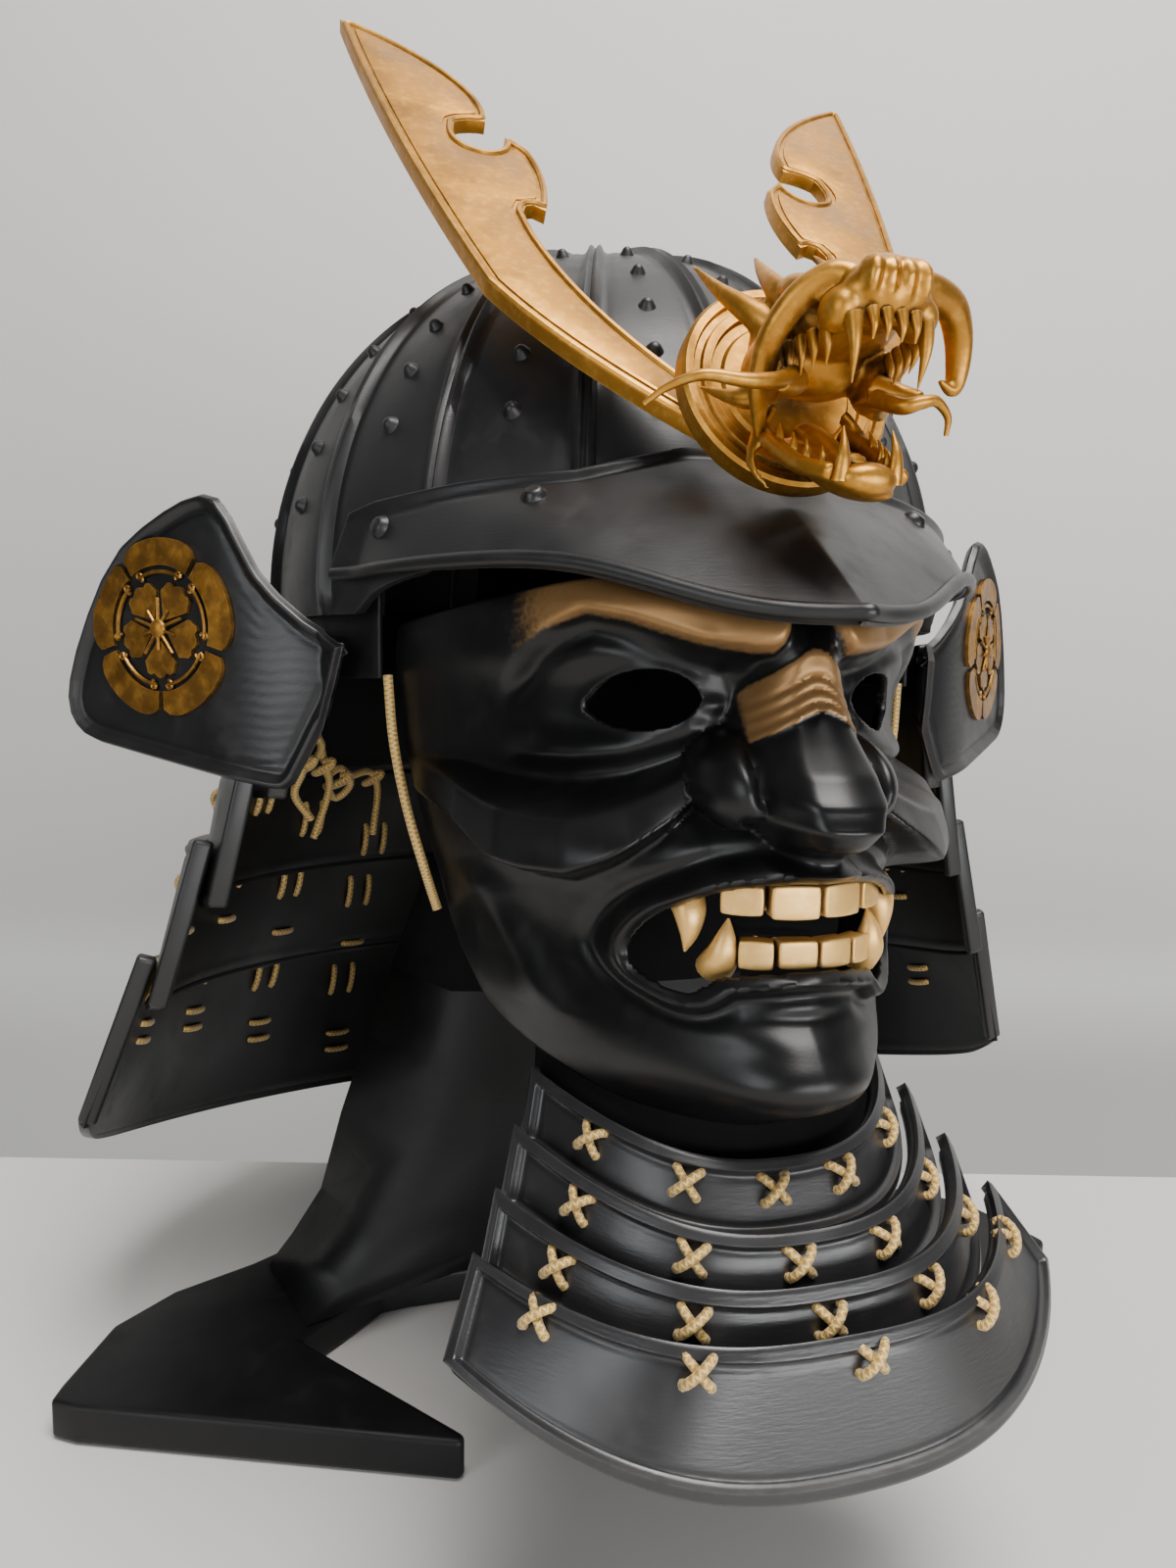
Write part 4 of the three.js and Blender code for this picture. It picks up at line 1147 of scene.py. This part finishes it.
def dragon_lower_jaw():
    """A trough-shaped jaw with a tongue, side plates and long teeth."""
    parts = [
        tube([(0, -166, 291), (0, -176, 286.5), (0, -186, 281), (0, -193, 279.5)],
             lambda t: mix(9.5, 6.5, t), 20, 20, flatten=0.34),
        ball((0, -193, 281), (6.4, 3.4, 3.4)),
    ]
    for route in both([(10, -165, 296), (11.5, -174, 291), (10.5, -184, 285), (7.5, -192.5, 282)]):
        parts.append(tube(route, lambda t: mix(2.3, 1.9, t), 20, 10))
    for route in both([(9, -166, 300), (13, -169, 294), (15.5, -172, 287), (13, -176, 281)]):
        parts.append(tube(route, lambda t: mix(2.6, 0.6, t), 18, 10, flatten=0.5))
    parts.append(tube([(0, -168, 295), (0, -177, 290), (0, -185, 285), (0, -189, 286)],
                      lambda t: mix(4.6, 2.4, t), 18, 14, flatten=0.55))
    skin = remelt(together(parts), "jaw")
    keep("dragon_lower_head", skin, GOLD, ["dragon_jaw"], crease=180)
    teeth = []
    for sx in (-1, 1):
        for y, x, root, rise, wide in ((-192.5, 5.8, 281.5, 9.5, 2.0), (-188, 7.8, 283, 5, 1.5),
                                       (-184, 9.2, 285, 5, 1.4), (-180, 10.2, 287, 5.2, 1.4),
                                       (-175, 11, 289.5, 5.6, 1.5)):
            route = [(sx * x, y, root - 1), (sx * x, y - 1.0, root + rise * 0.45),
                     (sx * (x - 0.4), y + 0.2, root + rise)]
            teeth.append(tube(route, taper(wide, 0.15, 1.2), 12, 8, flatten=0.8))
    keep("dragon_lower_teeth", together(teeth), GOLD, crease=60)


def dragon_whiskers():
    near = [(-11, -181, 303), (-18, -188, 299.5), (-26, -191, 298), (-34, -190, 298.5), (-40, -187, 296.5),
            (-44, -185, 293.5)]
    far = [(8, -181, 300), (10, -188, 297), (13, -190, 297.5), (16.5, -190, 298), (20, -189, 295.5),
           (20.5, -188, 292)]
    whisker = tube(near, lambda t: 2.0 * (1 - 0.75 * t), 48, 10)
    twin = tube(far, lambda t: 2.0 * (1 - 0.75 * t), 48, 10)
    keep("dragon_long_whisker_right", whisker, GOLD, ["dragon_whisker_right"], crease=80)
    keep("dragon_long_whisker_left", twin, GOLD, ["dragon_whisker_left"], crease=80)


# ---- face mask ----
# front middle y and z, half width, side y and z, fullness of the corners
FACE_ROWS = [
    (-156, 267, 80, -76, 255, 1.25), (-172, 252, 81, -76, 247, 1.05), (-166, 240, 80, -76, 236, 0.95),
    (-163, 228, 78.5, -77, 222, 1.0), (-168, 214, 75.5, -78, 208, 1.0), (-179, 202, 72.5, -79, 196, 1.0),
    (-177, 188, 69.5, -80, 186, 0.95), (-178, 174, 67.5, -81, 178, 0.9), (-183, 160, 65.5, -83, 170, 0.92),
    (-182, 149, 62.5, -86, 161, 1.12), (-161, 135, 58, -90, 151, 1.5),
]
# lines of the face, as distance from its middle and height
BROW_LINE = [(60, 238), (57, 243), (55, 248), (51, 252), (43, 255.5), (36.7, 253.8), (30, 251), (22.8, 248.3),
             (12.2, 246.5), (8.2, 246.6), (6.3, 249), (4, 253.8), (3, 257.8)]
LID_LINE = [(59.6, 224.1), (51.6, 223.1), (44.2, 223.3), (34.8, 225), (22.9, 229.6), (12.9, 232.4)]
EYE_OUTLINE = [(42.2, 234.4), (40.5, 238.2), (37.1, 241.5), (32.6, 243.1), (27.3, 243.0), (22.6, 240.9),
               (19.9, 237.2), (21.7, 233.7), (25.5, 231), (30.7, 229.9), (36.2, 230.4), (40.2, 232.4)]
MOUTH_OUTLINE = [(0, 197.6), (6, 197.6), (12, 196.8), (18.9, 194.8), (24.7, 191.2), (29.3, 187.2),
                 (32.2, 182.2),
                 (33.4, 177.2), (32.2, 174), (29.4, 172.3), (26.3, 171.2), (23.2, 171.6), (20.9, 173.5),
                 (18.6, 175.6), (15, 176.8), (7.5, 178.2), (0, 178.8)]
CHEEK_TOP = [(0, 229.3), (12.8, 228.3), (20.1, 225.8), (26.3, 222.2), (33.6, 218.8), (40.7, 217),
             (47.5, 216.6),
             (59.4, 218), (66, 220), (82, 222)]
CHEEK_LOW = [(0, 216.9), (20.8, 214.9), (25.7, 210), (32.7, 204.5), (38.2, 199.5), (43.8, 195), (50, 194.5),
             (56.8, 197), (63, 204), (82, 212)]
# how far the cheeks and the hollows round them stand from the plain shell, by distance from the middle
CHEEK_OUT = [(0, 0), (16, 4), (24, 7), (34, 11), (44, 16), (54, 18), (62, 14), (70, 7), (78, 0)]
HOLLOW = [(0, 0), (12, -1), (20, -3), (32, -3), (48, -2), (60, -1), (70, 0), (80, 0)]
JAW_HOLLOW = [(0, 0), (14, -1), (24, -2), (36, -3), (48, -2), (60, 0), (72, 0)]
FOLD_LINE = [(64.8, 191.4), (58.5, 182.3), (51.8, 168.6), (47.6, 157), (46.5, 149)]
NOSE_OUT = [(198, 0), (202, 2), (205, 9), (207.5, 19), (211, 26), (216, 28), (222, 26), (228, 21),
            (234, 15.5),
            (240, 10), (246, 5), (251, 2), (256, 0)]
NOSE_FLAT = [(198, 1), (204, 2), (208, 3.5), (212, 5), (217, 6), (226, 5.5), (236, 4.5), (246, 3.5), (256, 2)]
NOSE_SLOPE = [(198, 4), (204, 5), (208, 7.5), (212, 10), (217, 11), (226, 10.5), (236, 8.5), (246, 6.5),
              (256, 5)]


def near_line(x, z, line):
    """Distance to a line of places, how far along it is, and which side: positive on its left."""
    line = np.array(line, float)
    best = np.full(x.shape, 1e9)
    along = np.zeros(x.shape)
    side = np.ones(x.shape)
    total = np.linalg.norm(np.diff(line, axis=0), axis=1)
    run = np.concatenate([[0], np.cumsum(total)])
    for k, (a, b) in enumerate(zip(line, line[1:])):
        way = b - a
        t = np.clip(((x - a[0]) * way[0] + (z - a[1]) * way[1]) / (way @ way), 0, 1)
        px, pz = a[0] + t * way[0], a[1] + t * way[1]
        far = np.hypot(x - px, z - pz)
        closer = far < best
        best = np.where(closer, far, best)
        along = np.where(closer, (run[k] + t * total[k]) / run[-1], along)
        turn = way[0] * (z - a[1]) - way[1] * (x - a[0])
        side = np.where(closer, np.sign(turn), side)
    return best, along, side


def inside(x, z, outline):
    """Which places lie inside a closed outline."""
    outline = np.array(outline, float)
    hit = np.zeros(x.shape, bool)
    for a, b in zip(outline, np.roll(outline, -1, axis=0)):
        crosses = (a[1] > z) != (b[1] > z)
        with np.errstate(divide="ignore", invalid="ignore"):
            edge = (b[0] - a[0]) * (z - a[1]) / (b[1] - a[1]) + a[0]
        hit ^= crosses & (x < edge)
    return hit


def closed_smooth(outline):
    """A smooth closed outline through the given corners."""
    ring = np.array(outline, float)
    padded = np.vstack([ring[-2:], ring, ring[:3]])
    line = smooth_route(padded, (len(padded) - 1) * 12 + 1)
    return line[24:24 + len(ring) * 12]


def mouth_ring():
    half = np.array(MOUTH_OUTLINE, float)
    whole = np.vstack([half, half[-2:0:-1] * [-1, 1]])
    return closed_smooth(whole)


def bump_at(ax, z, cx, cz, rx, rz, height, power=2.0):
    """A soft bump centred at (cx, cz)."""
    r = np.hypot((ax - cx) / rx, (z - cz) / rz)
    return height * np.exp(-(r ** power))


def dome_at(ax, z, cx, cz, rx, rz, height, power=0.5):
    """A dome with a steep edge."""
    r2 = ((ax - cx) / rx) ** 2 + ((z - cz) / rz) ** 2
    return height * np.maximum(1 - r2, 0) ** power


def face_relief(x, z):
    """How far the face stands out from its plain shell, and the share of gold paint, faded as painted shade under
    the visor.
    """
    ax = np.abs(x)
    eye = closed_smooth(EYE_OUTLINE)
    to_eye, _, _ = near_line(ax, z, np.vstack([eye, eye[:1]]))
    mouth = mouth_ring()
    to_mouth, _, _ = near_line(x, z, np.vstack([mouth, mouth[:1]]))
    # hollows that the brows, cheeks and lips rise from
    upper = ease((z - 192) / 10) * (1 - ease((z - 252) / 8))
    out = np.interp(ax, *zip(*HOLLOW)) * upper
    out += np.interp(ax, *zip(*JAW_HOLLOW)) * (1 - ease((z - 192) / 10)) * ease((z - 140) / 16)
    # brows
    far, along, side = near_line(ax, z, BROW_LINE)
    above = -far * side
    brow = ease((above + 1.0) / 4.0) * (1 - 0.45 * ease((above - 6) / 12))
    out += 6.0 * brow * ease((ax - 1.5) / 5) * (1 - ease((ax - 40) / 20))
    out -= 2.5 * np.exp(-((above + 3.5) / 2.6) ** 2) * ease((ax - 10) / 6) * (1 - ease((ax - 50) / 12))
    out -= bump_at(ax, z, 0, 254, 2.4, 8, 3.0)
    out -= bump_at(ax, z, 13, 239, 5, 8, 3.0)
    # lids
    far, along, side = near_line(ax, z, LID_LINE)
    fade = ease(along / 0.25) * ease((1 - along) / 0.2)
    out += 4.2 * np.exp(-(far / np.where(side > 0, 3.6, 5.0)) ** 2) * fade
    out += 0.7 * np.exp(-((to_eye - 0.4) / 1.2) ** 2)
    out += bump_at(ax, z, 16.5, 235.6, 3.4, 2.2, 1.6)
    # cheeks, with a sharp lower edge
    top = np.interp(ax, *zip(*CHEEK_TOP))
    low = np.interp(ax, *zip(*CHEEK_LOW))
    t = (top - z) / np.maximum(top - low, 1)
    puff = ease(t / 0.42) * (1 - ease((t - 0.90) / 0.27))
    out += np.interp(ax, *zip(*CHEEK_OUT)) * puff * (0.80 + 0.20 * t.clip(0, 1))
    # fold from cheek to jaw
    far, along, side = near_line(ax, z, FOLD_LINE)
    out += 3.0 * np.exp(-(far / 4.2) ** 2) * ease(along / 0.2) * ease((1 - along) / 0.35)
    # nose
    rise = np.interp(z, *zip(*NOSE_OUT))
    flat = np.interp(z, *zip(*NOSE_FLAT))
    slope = np.interp(z, *zip(*NOSE_SLOPE))
    nose = rise * (1 - np.clip((ax - flat) / slope, 0, 1) ** 1.4) * (1 - 0.04 * np.minimum(ax / flat, 1) ** 2)
    wing = dome_at(ax, z, 13.6, 219.4, 9.4, 11.4, 18.5, 0.60)
    curl = np.exp(-((np.hypot(ax - 13.4, (z - 214.6) * 1.05) - 5.2) / 1.5) ** 2) * (ax < 15) * (z < 217)
    wing = wing - 6.0 * curl * (wing > 0)
    seam = (3.2 * np.exp(-((ax - 11.5 - 0.10 * (z - 214)) / 1.3) ** 2) * ease((z - 213) / 4)
            * (1 - ease((z - 226) / 5)))
    proud = np.maximum(nose, wing)
    share = ease(proud / 7)
    out = np.maximum(out, out * (1 - share) + np.maximum(proud - seam * share, 0))
    arm = np.sqrt(ax ** 2 + 9) - 3
    rung = z + 0.80 * arm
    bands = ease((rung - 234.8) / 0.7) * (1 - ease((z + 1.05 * arm - 248.0) / 0.8)) * ease((12.2 - ax) / 0.8)
    out += 1.1 * bands
    for level in (237.2, 239.8, 242.6):
        out -= 1.0 * np.exp(-((rung - level) / 0.5) ** 2) * bands
    # mouth and lips
    out += 1.0 * np.exp(-(to_mouth / 9.0) ** 2)
    out += 4.6 * np.exp(-((to_mouth - 2.5) / 2.2) ** 2)
    out -= 1.6 * np.exp(-((to_mouth - 7.0) / 1.8) ** 2)
    out += 1.6 * ease((8.5 - ax) / 1.2) * ease((z - 199) / 1.2) * (1 - ease((z - 206) / 2))
    # chin
    out += bump_at(ax, z, 0, 151, 19, 9, 3.6, 4)
    out -= bump_at(ax, z, 0, 166.5, 24, 3.2, 2.4, 2)
    gilt = ease((above - 0.2) / 1.4) * ease((ax - 3.0) / 2.5) * (1 - ease((ax - 46) / 15)) * ease((268 - z) / 2)
    # painted shade: the brow gold fades to black upwards, under the visor's shade
    gilt *= 1 - 0.75 * ease((above - 6) / 9)
    return out, np.maximum(gilt * 0.92, bands)


def face_base(u, v):
    s = 2 * u - 1
    turn = (0.78 * s + 0.22 * s ** 3) * math.pi / 2
    row = table_at(FACE_ROWS, v)
    forward = np.maximum(np.cos(turn), 0) ** (2 / row[:, 5])
    x = row[:, 2] * np.sin(turn)
    z = mix(row[:, 4], row[:, 1], forward)
    y = mix(row[:, 3], row[:, 0], forward)
    return stack(x, y, z), turn


def nearest_on(ring, x, z):
    """The closest place to (x, z) on a closed line."""
    start, stop = ring, np.roll(ring, -1, axis=0)
    way = stop - start
    spot = np.array([x, z])
    t = np.clip(np.sum((spot - start) * way, axis=1) / np.maximum(np.sum(way * way, axis=1), 1e-9), 0, 1)
    near = start + way * t[:, None]
    return near[np.argmin(np.linalg.norm(near - spot, axis=1))]


def face_mask():
    """The demon face, raised from a plain shell by its brows, nose, cheeks, lips and chin."""
    kept = {}

    def place(u, v):
        base, turn = face_base(u, 1 - v)
        relief, gilt = face_relief(base[:, 0], base[:, 2])
        fade = ease((1 - np.abs(2 * u - 1)) / 0.12)
        out = stack(np.sin(turn) * 0.8, -np.cos(turn) * 0.6 - 0.4, np.zeros_like(turn))
        out /= np.linalg.norm(out, axis=1)[:, None]
        kept["gilt"], kept["flat"] = gilt, base
        return base + out * (relief * fade)[:, None]

    bm = sheet(250, 168, place)
    layer = bm.verts.layers.float.new("gilt")
    base = kept["flat"]
    for vert, share in zip(bm.verts, kept["gilt"]):
        vert[layer] = share
    middles = np.array([np.mean([base[v.index] for v in face.verts], axis=0) for face in bm.faces])
    eye = closed_smooth(EYE_OUTLINE)
    cut_faces, moves = set(), {}
    for ring in (eye, eye * [-1, 1], mouth_ring()):
        cut = inside(middles[:, 0], middles[:, 2], ring)
        gone = {face for face, yes in zip(bm.faces, cut) if yes}
        rim = {v for face in gone for v in face.verts if any(f not in gone for f in v.link_faces)}
        for vert in rim:
            x, z = base[vert.index][0], base[vert.index][2]
            moves[vert] = nearest_on(ring, x, z) - (x, z)
        cut_faces |= gone
    for vert, (dx, dz) in moves.items():
        vert.co.x += dx
        vert.co.z += dz
    rim = list(moves)
    bmesh.ops.delete(bm, geom=list(cut_faces), context="FACES_ONLY")
    bmesh.ops.delete(bm, geom=[e for e in bm.edges if not e.link_faces], context="EDGES")
    bmesh.ops.delete(bm, geom=[v for v in bm.verts if not v.link_faces], context="VERTS")
    bmesh.ops.remove_doubles(bm, verts=[v for v in rim if v.is_valid], dist=0.25)
    bmesh.ops.dissolve_degenerate(bm, dist=0.02, edges=bm.edges)
    rim = {v for v in rim if v.is_valid}
    beside = rim | {e.other_vert(v) for v in rim for e in v.link_edges}
    soften(bm, list(beside), 4)
    face_out(bm, (0, 0, 200))
    piece = keep("demon_face_mask", bm, MASK_BLACK, ["mask_shell"], crease=60)
    # painted shade: the inner side of the mask's wall gets the matt near-black
    piece.data.materials.append(PAINTED_SHADE)
    wall(piece, 2.6, 0)
    piece.modifiers["wall"].material_offset = 1


def mask_teeth():
    """Block teeth above and below, with a fang at each end of both rows."""
    def front(x):
        return -175.4 + 0.021 * (x - 2) ** 2

    def block(left, right, low, high):
        bm = bmesh.new()
        bmesh.ops.create_cube(bm, size=1)
        bmesh.ops.subdivide_edges(bm, edges=bm.edges, cuts=3, use_grid_fill=True)
        for v in bm.verts:
            q = np.array(v.co) * 2
            v.co = (q[0] * (1 - 0.04 * q[2] ** 2) * 0.5, (q[1] - 0.12 * (1 - q[0] ** 2)) * 0.5,
                    q[2] * (1 - 0.06 * q[0] ** 2) * 0.5)
        round_edges(bm, 0.07, 3, 60)
        bmesh.ops.transform(bm, matrix=Matrix.Diagonal((right - left + 0.1, 5.0, high - low, 1)),
                            verts=bm.verts)
        x = (left + right) / 2
        turn = Matrix.Rotation(math.atan(0.042 * (x - 2)), 4, "Z")
        place = Matrix.Translation((x, front(x) + 2.2, (low + high) / 2))
        bmesh.ops.transform(bm, matrix=place @ turn, verts=bm.verts)
        return bm

    def fang(x, root, tip, girth, lean):
        y = front(x) + 0.8
        middle = (root + tip) / 2
        route = [(x, y + 4.2, root), (x, y + 0.4, mix(root, middle, 0.6)),
                 (x - lean * 0.3, y - 0.8, mix(middle, tip, 0.3)),
                 (x - lean, y - 0.4, tip)]
        return tube(route, lambda t: girth * (1 - t ** 1.7) + 0.25, 24, 16, flatten=0.85)

    upper = [block(-17.2, -7.6, 189.2, 196.0), block(-7.6, 3.6, 188.6, 196.4), block(3.6, 14.2, 188.8, 196.4),
             block(14.2, 22.4, 189.4, 196.0)]
    upper += [fang(-22.4, 192.6, 179.4, 4.5, 1.2), fang(26.6, 193.2, 180.0, 4.5, -1.2)]
    lower = [block(-13.4, -5.6, 177.0, 183.6), block(-5.6, 3.4, 177.4, 183.9), block(3.4, 12.0, 177.2, 183.7),
             block(12.0, 18.4, 177.0, 183.3)]
    lower += [fang(-16.4, 175.5, 188.0, 4.4, -1.0), fang(21.0, 175.5, 188.6, 4.4, 1.0)]
    keep("mask_upper_teeth", together(upper), TOOTH_GOLD, ["teeth_upper"], crease=50)
    keep("mask_lower_teeth", together(lower), TOOTH_GOLD, ["teeth_lower"], crease=50)


# ---- throat guard ----
# top side corner, top middle, lower side corner and lower middle of each lame
THROAT_LAMES = [
    ((49.5, -122, 139), (-168, 130), (54, -128, 121), (-176, 113)),
    ((56, -132, 128), (-181, 119), (61, -138, 110), (-186, 102)),
    ((62.7, -142, 117), (-190, 112), (68, -148, 98), (-195, 90)),
    ((69.9, -152, 107), (-199, 106), (79, -166, 91), (-206, 76)),
]
# where the crossed cords sit along each lame, from -1 at its right end to 1, and how far down
THROAT_STITCHES = [
    ((-0.79, -0.45, -0.06, 0.30, 0.68), 0.36), ((-0.80, -0.45, -0.04, 0.36, 0.72), 0.36),
    ((-0.82, -0.45, 0.01, 0.43, 0.79), 0.34), ((-0.83, -0.44, 0.08, 0.54, 0.85), 0.17),
]


def throat_surface(lame):
    top, middle, low, drop = lame

    def place(u, v):
        side = 2 * u - 1
        bend = 1 - np.abs(side) ** 2.9
        sag = 1 - side ** 2
        x = side * mix(top[0], low[0], v)
        y = mix(mix(top[1], middle[0], bend), mix(low[1], drop[0], bend), v)
        z = mix(mix(top[2], middle[1], sag), mix(low[2], drop[1], sag), v)
        return stack(x, y, z)
    return place


def throat_lame(number, lame):
    """A curved lame with a raised band inside its edge."""
    surface = throat_surface(lame)
    tall = 32 if number == 4 else 21
    long = 180 + 22 * number

    def place(u, v):
        s = spread(u, 1, 8 / long, 0.12)
        t = spread(v, 1, 7 / tall, 0.36)
        point = surface(s, t)
        ahead = surface(np.clip(s + 0.002, 0, 1), t) - surface(np.clip(s - 0.002, 0, 1), t)
        below = surface(s, np.clip(t + 0.01, 0, 1)) - surface(s, np.clip(t - 0.01, 0, 1))
        out = np.cross(ahead, below)
        out /= np.linalg.norm(out, axis=1)[:, None]
        out *= np.where(out[:, 1] > 0, -1, 1)[:, None]
        away = np.minimum(np.minimum(s, 1 - s) * long, np.minimum(t, 1 - t) * tall)
        lift = 1.3 * (1 - ease((away - 3.0) / 0.9)) - 0.25 * np.exp(-((away - 4.8) / 0.8) ** 2)
        lift += 0.35 * np.exp(-((away - 2.7) / 0.7) ** 2) - 0.5 * (1 - ease(away / 1.0))
        return point + out * lift[:, None]

    bm = sheet(150, 34, place)
    face_out(bm, (0, -60, 120))
    wall(keep(f"laced_throat_lame_{number}", bm, THROAT_SHEEN_BLACK, [f"throat_lame_{number}"],
              crease=50), 3.0, 0.8, 2)


def throat_shade_strip():
    """A dark strip of painted shade that closes the gap between the mask's chin and the first lame."""
    first = throat_surface(THROAT_LAMES[0])

    def place(u, v):
        side = (2 * u - 1) * 0.97
        bend = 1 - np.abs(side) ** 2.9
        top = stack(side * 47, mix(-104, -157, bend), mix(150, 141, bend))
        low = first((side + 1) / 2, np.full_like(side, 0.45)) + stack(0 * side, 3.6 + 0 * side, 0 * side)
        return top + (low - top) * v[:, None]

    bm = face_out(sheet(60, 8, place), (0, -60, 150))
    # painted shade: the strip takes the matt near-black
    wall(keep("throat_painted_shade_strip", bm, PAINTED_SHADE, crease=60), 1.2, 0)


def throat_lacing():
    parts = []
    for lame, (spots, down) in zip(THROAT_LAMES, THROAT_STITCHES):
        surface = throat_surface(lame)
        for spot in spots:
            parts += cross_stitch(surface, (spot + 1) / 2, down, 2.75)
    keep("throat_lacing", together(parts), CORD, crease=60)


# ---- stand ----
def stand():
    """The forked base, the post that flares into it, with painted shade on its upper part, and the pad under the
    crown.
    """
    base = round_edges(from_node("stand_base"), 2.2, 4, 25)
    keep("forked_stand_base", base, STAND_BLACK, ["stand_base"], crease=35)
    post = from_node("stand_post")
    faces = [*post.faces, *post.edges, *post.verts]
    bmesh.ops.bisect_plane(post, geom=faces, plane_co=(0, 0, 128), plane_no=(0, 0, 1))
    # painted shade: the post's faces above 128 mm, in shade under the mask, get the matt near-black
    for f in post.faces:
        f.material_index = int(f.calc_center_median().z > 128)
    piece = keep("stand_upright", post, STAND_BLACK, ["stand_post"], crease=70)
    piece.data.materials.append(PAINTED_SHADE)
    pad = from_node("stand_pad")
    keep("stand_head_pad", pad, STAND_BLACK, ["stand_pad"], crease=60)
    arm = round_edges(from_node("mask_bracket"), 1.2, 3, 40)
    keep("mask_bracket_arm", arm, STAND_BLACK, ["mask_bracket"], crease=35)


# ---- stage ----
def plain(name, color, rough):
    f = Finish(name)
    cloud = f.noise(9, 3)
    f.feed(f.shader, "Base Color", f.blend(cloud, color, tuple(c * 0.97 for c in color)))
    f.shader.inputs["Roughness"].default_value = rough
    f.shader.inputs["Specular IOR Level"].default_value = 0.25
    return f.material


def one_sided(material):
    """Lets a camera behind the wall see through it."""
    tree = material.node_tree
    out = next(n for n in tree.nodes if n.type == "OUTPUT_MATERIAL")
    solid = out.inputs["Surface"].links[0].from_socket
    facing = tree.nodes.new("ShaderNodeNewGeometry")
    clear = tree.nodes.new("ShaderNodeBsdfTransparent")
    both = tree.nodes.new("ShaderNodeMixShader")
    tree.links.new(facing.outputs["Backfacing"], both.inputs[0])
    tree.links.new(solid, both.inputs[1])
    tree.links.new(clear.outputs[0], both.inputs[2])
    tree.links.new(both.outputs[0], out.inputs["Surface"])
    return material


def stage():
    """A pale table top with a pale wall behind it."""
    bm = bmesh.new()
    bmesh.ops.create_grid(bm, x_segments=1, y_segments=1, size=1)
    bmesh.ops.scale(bm, vec=(0.62, 0.80, 1), verts=bm.verts)
    bmesh.ops.translate(bm, vec=(0.17, 0.09 - 0.80, -0.0005), verts=bm.verts)
    bmesh.ops.rotate(bm, cent=(0, 0, 0), matrix=Matrix.Rotation(VIEW_TURN, 3, "Z"), verts=bm.verts)
    show_stage("table_top", bm, plain("pale_table", (0.66, 0.647, 0.622), 0.6))
    bm = bmesh.new()
    bmesh.ops.create_grid(bm, x_segments=1, y_segments=1, size=1)
    bmesh.ops.scale(bm, vec=(3.0, 2.5, 1), verts=bm.verts)
    bmesh.ops.rotate(bm, cent=(0, 0, 0), matrix=Matrix.Rotation(math.pi / 2, 3, "X"), verts=bm.verts)
    bmesh.ops.translate(bm, vec=(0, 0.42, 1.2), verts=bm.verts)
    bmesh.ops.rotate(bm, cent=(0, 0, 0), matrix=Matrix.Rotation(VIEW_TURN, 3, "Z"), verts=bm.verts)
    show_stage("pale_wall", bm, one_sided(plain("pale_wall", (0.60, 0.596, 0.584), 0.9)))


def show_stage(name, bm, finish):
    piece = shown(name, bm, finish)


def area_light(name, place, aim, size, power, color):
    data = bpy.data.lights.new(name, "AREA")
    data.shape = "RECTANGLE"
    data.size, data.size_y = size
    data.energy = power
    data.color = color
    lamp = bpy.data.objects.new(name, data)
    lamp.location = place
    way = Vector(aim) - Vector(place)
    lamp.rotation_mode = "QUATERNION"
    lamp.rotation_quaternion = way.to_track_quat("-Z", "Y")
    bpy.context.scene.collection.objects.link(lamp)


def lights():
    area_light("ceiling_light", (0.15, -0.60, 1.65), (0, -0.05, 0.2), (0.9, 0.9), 46, (1.0, 0.97, 0.94))
    area_light("front_softbox", (0.35, -1.50, 0.06), (0, -0.1, 0.12), (1.4, 0.55), 27, (0.98, 0.99, 1.0))
    area_light("side_window", (-1.15, -0.85, 0.42), (0, -0.1, 0.15), (0.6, 0.8), 6.5, (0.95, 0.98, 1.0))
    world = bpy.data.worlds.new("room")
    world.use_nodes = True
    world.node_tree.nodes["Background"].inputs["Color"].default_value = (0.86, 0.89, 0.93, 1)
    world.node_tree.nodes["Background"].inputs["Strength"].default_value = 0.07
    bpy.context.scene.world = world


add_camera()
mask_cord(RIGHT)
mask_cord(LEFT)
helmet_bowl()
bowl_studs()
crown_boss()
visor()
visor_studs()
inner_band()
for number, lame in enumerate(NECK_LAMES, start=1):
    neck_lame(number, lame)
neck_lacing()
loose_lacing()
add_turnbacks()
add_blades()
crest_disc()
dragon_head()
dragon_lower_jaw()
dragon_whiskers()
face_mask()
mask_teeth()
for number, lame in enumerate(THROAT_LAMES, start=1):
    throat_lame(number, lame)
throat_shade_strip()
throat_lacing()
stand()
stage()
lights()
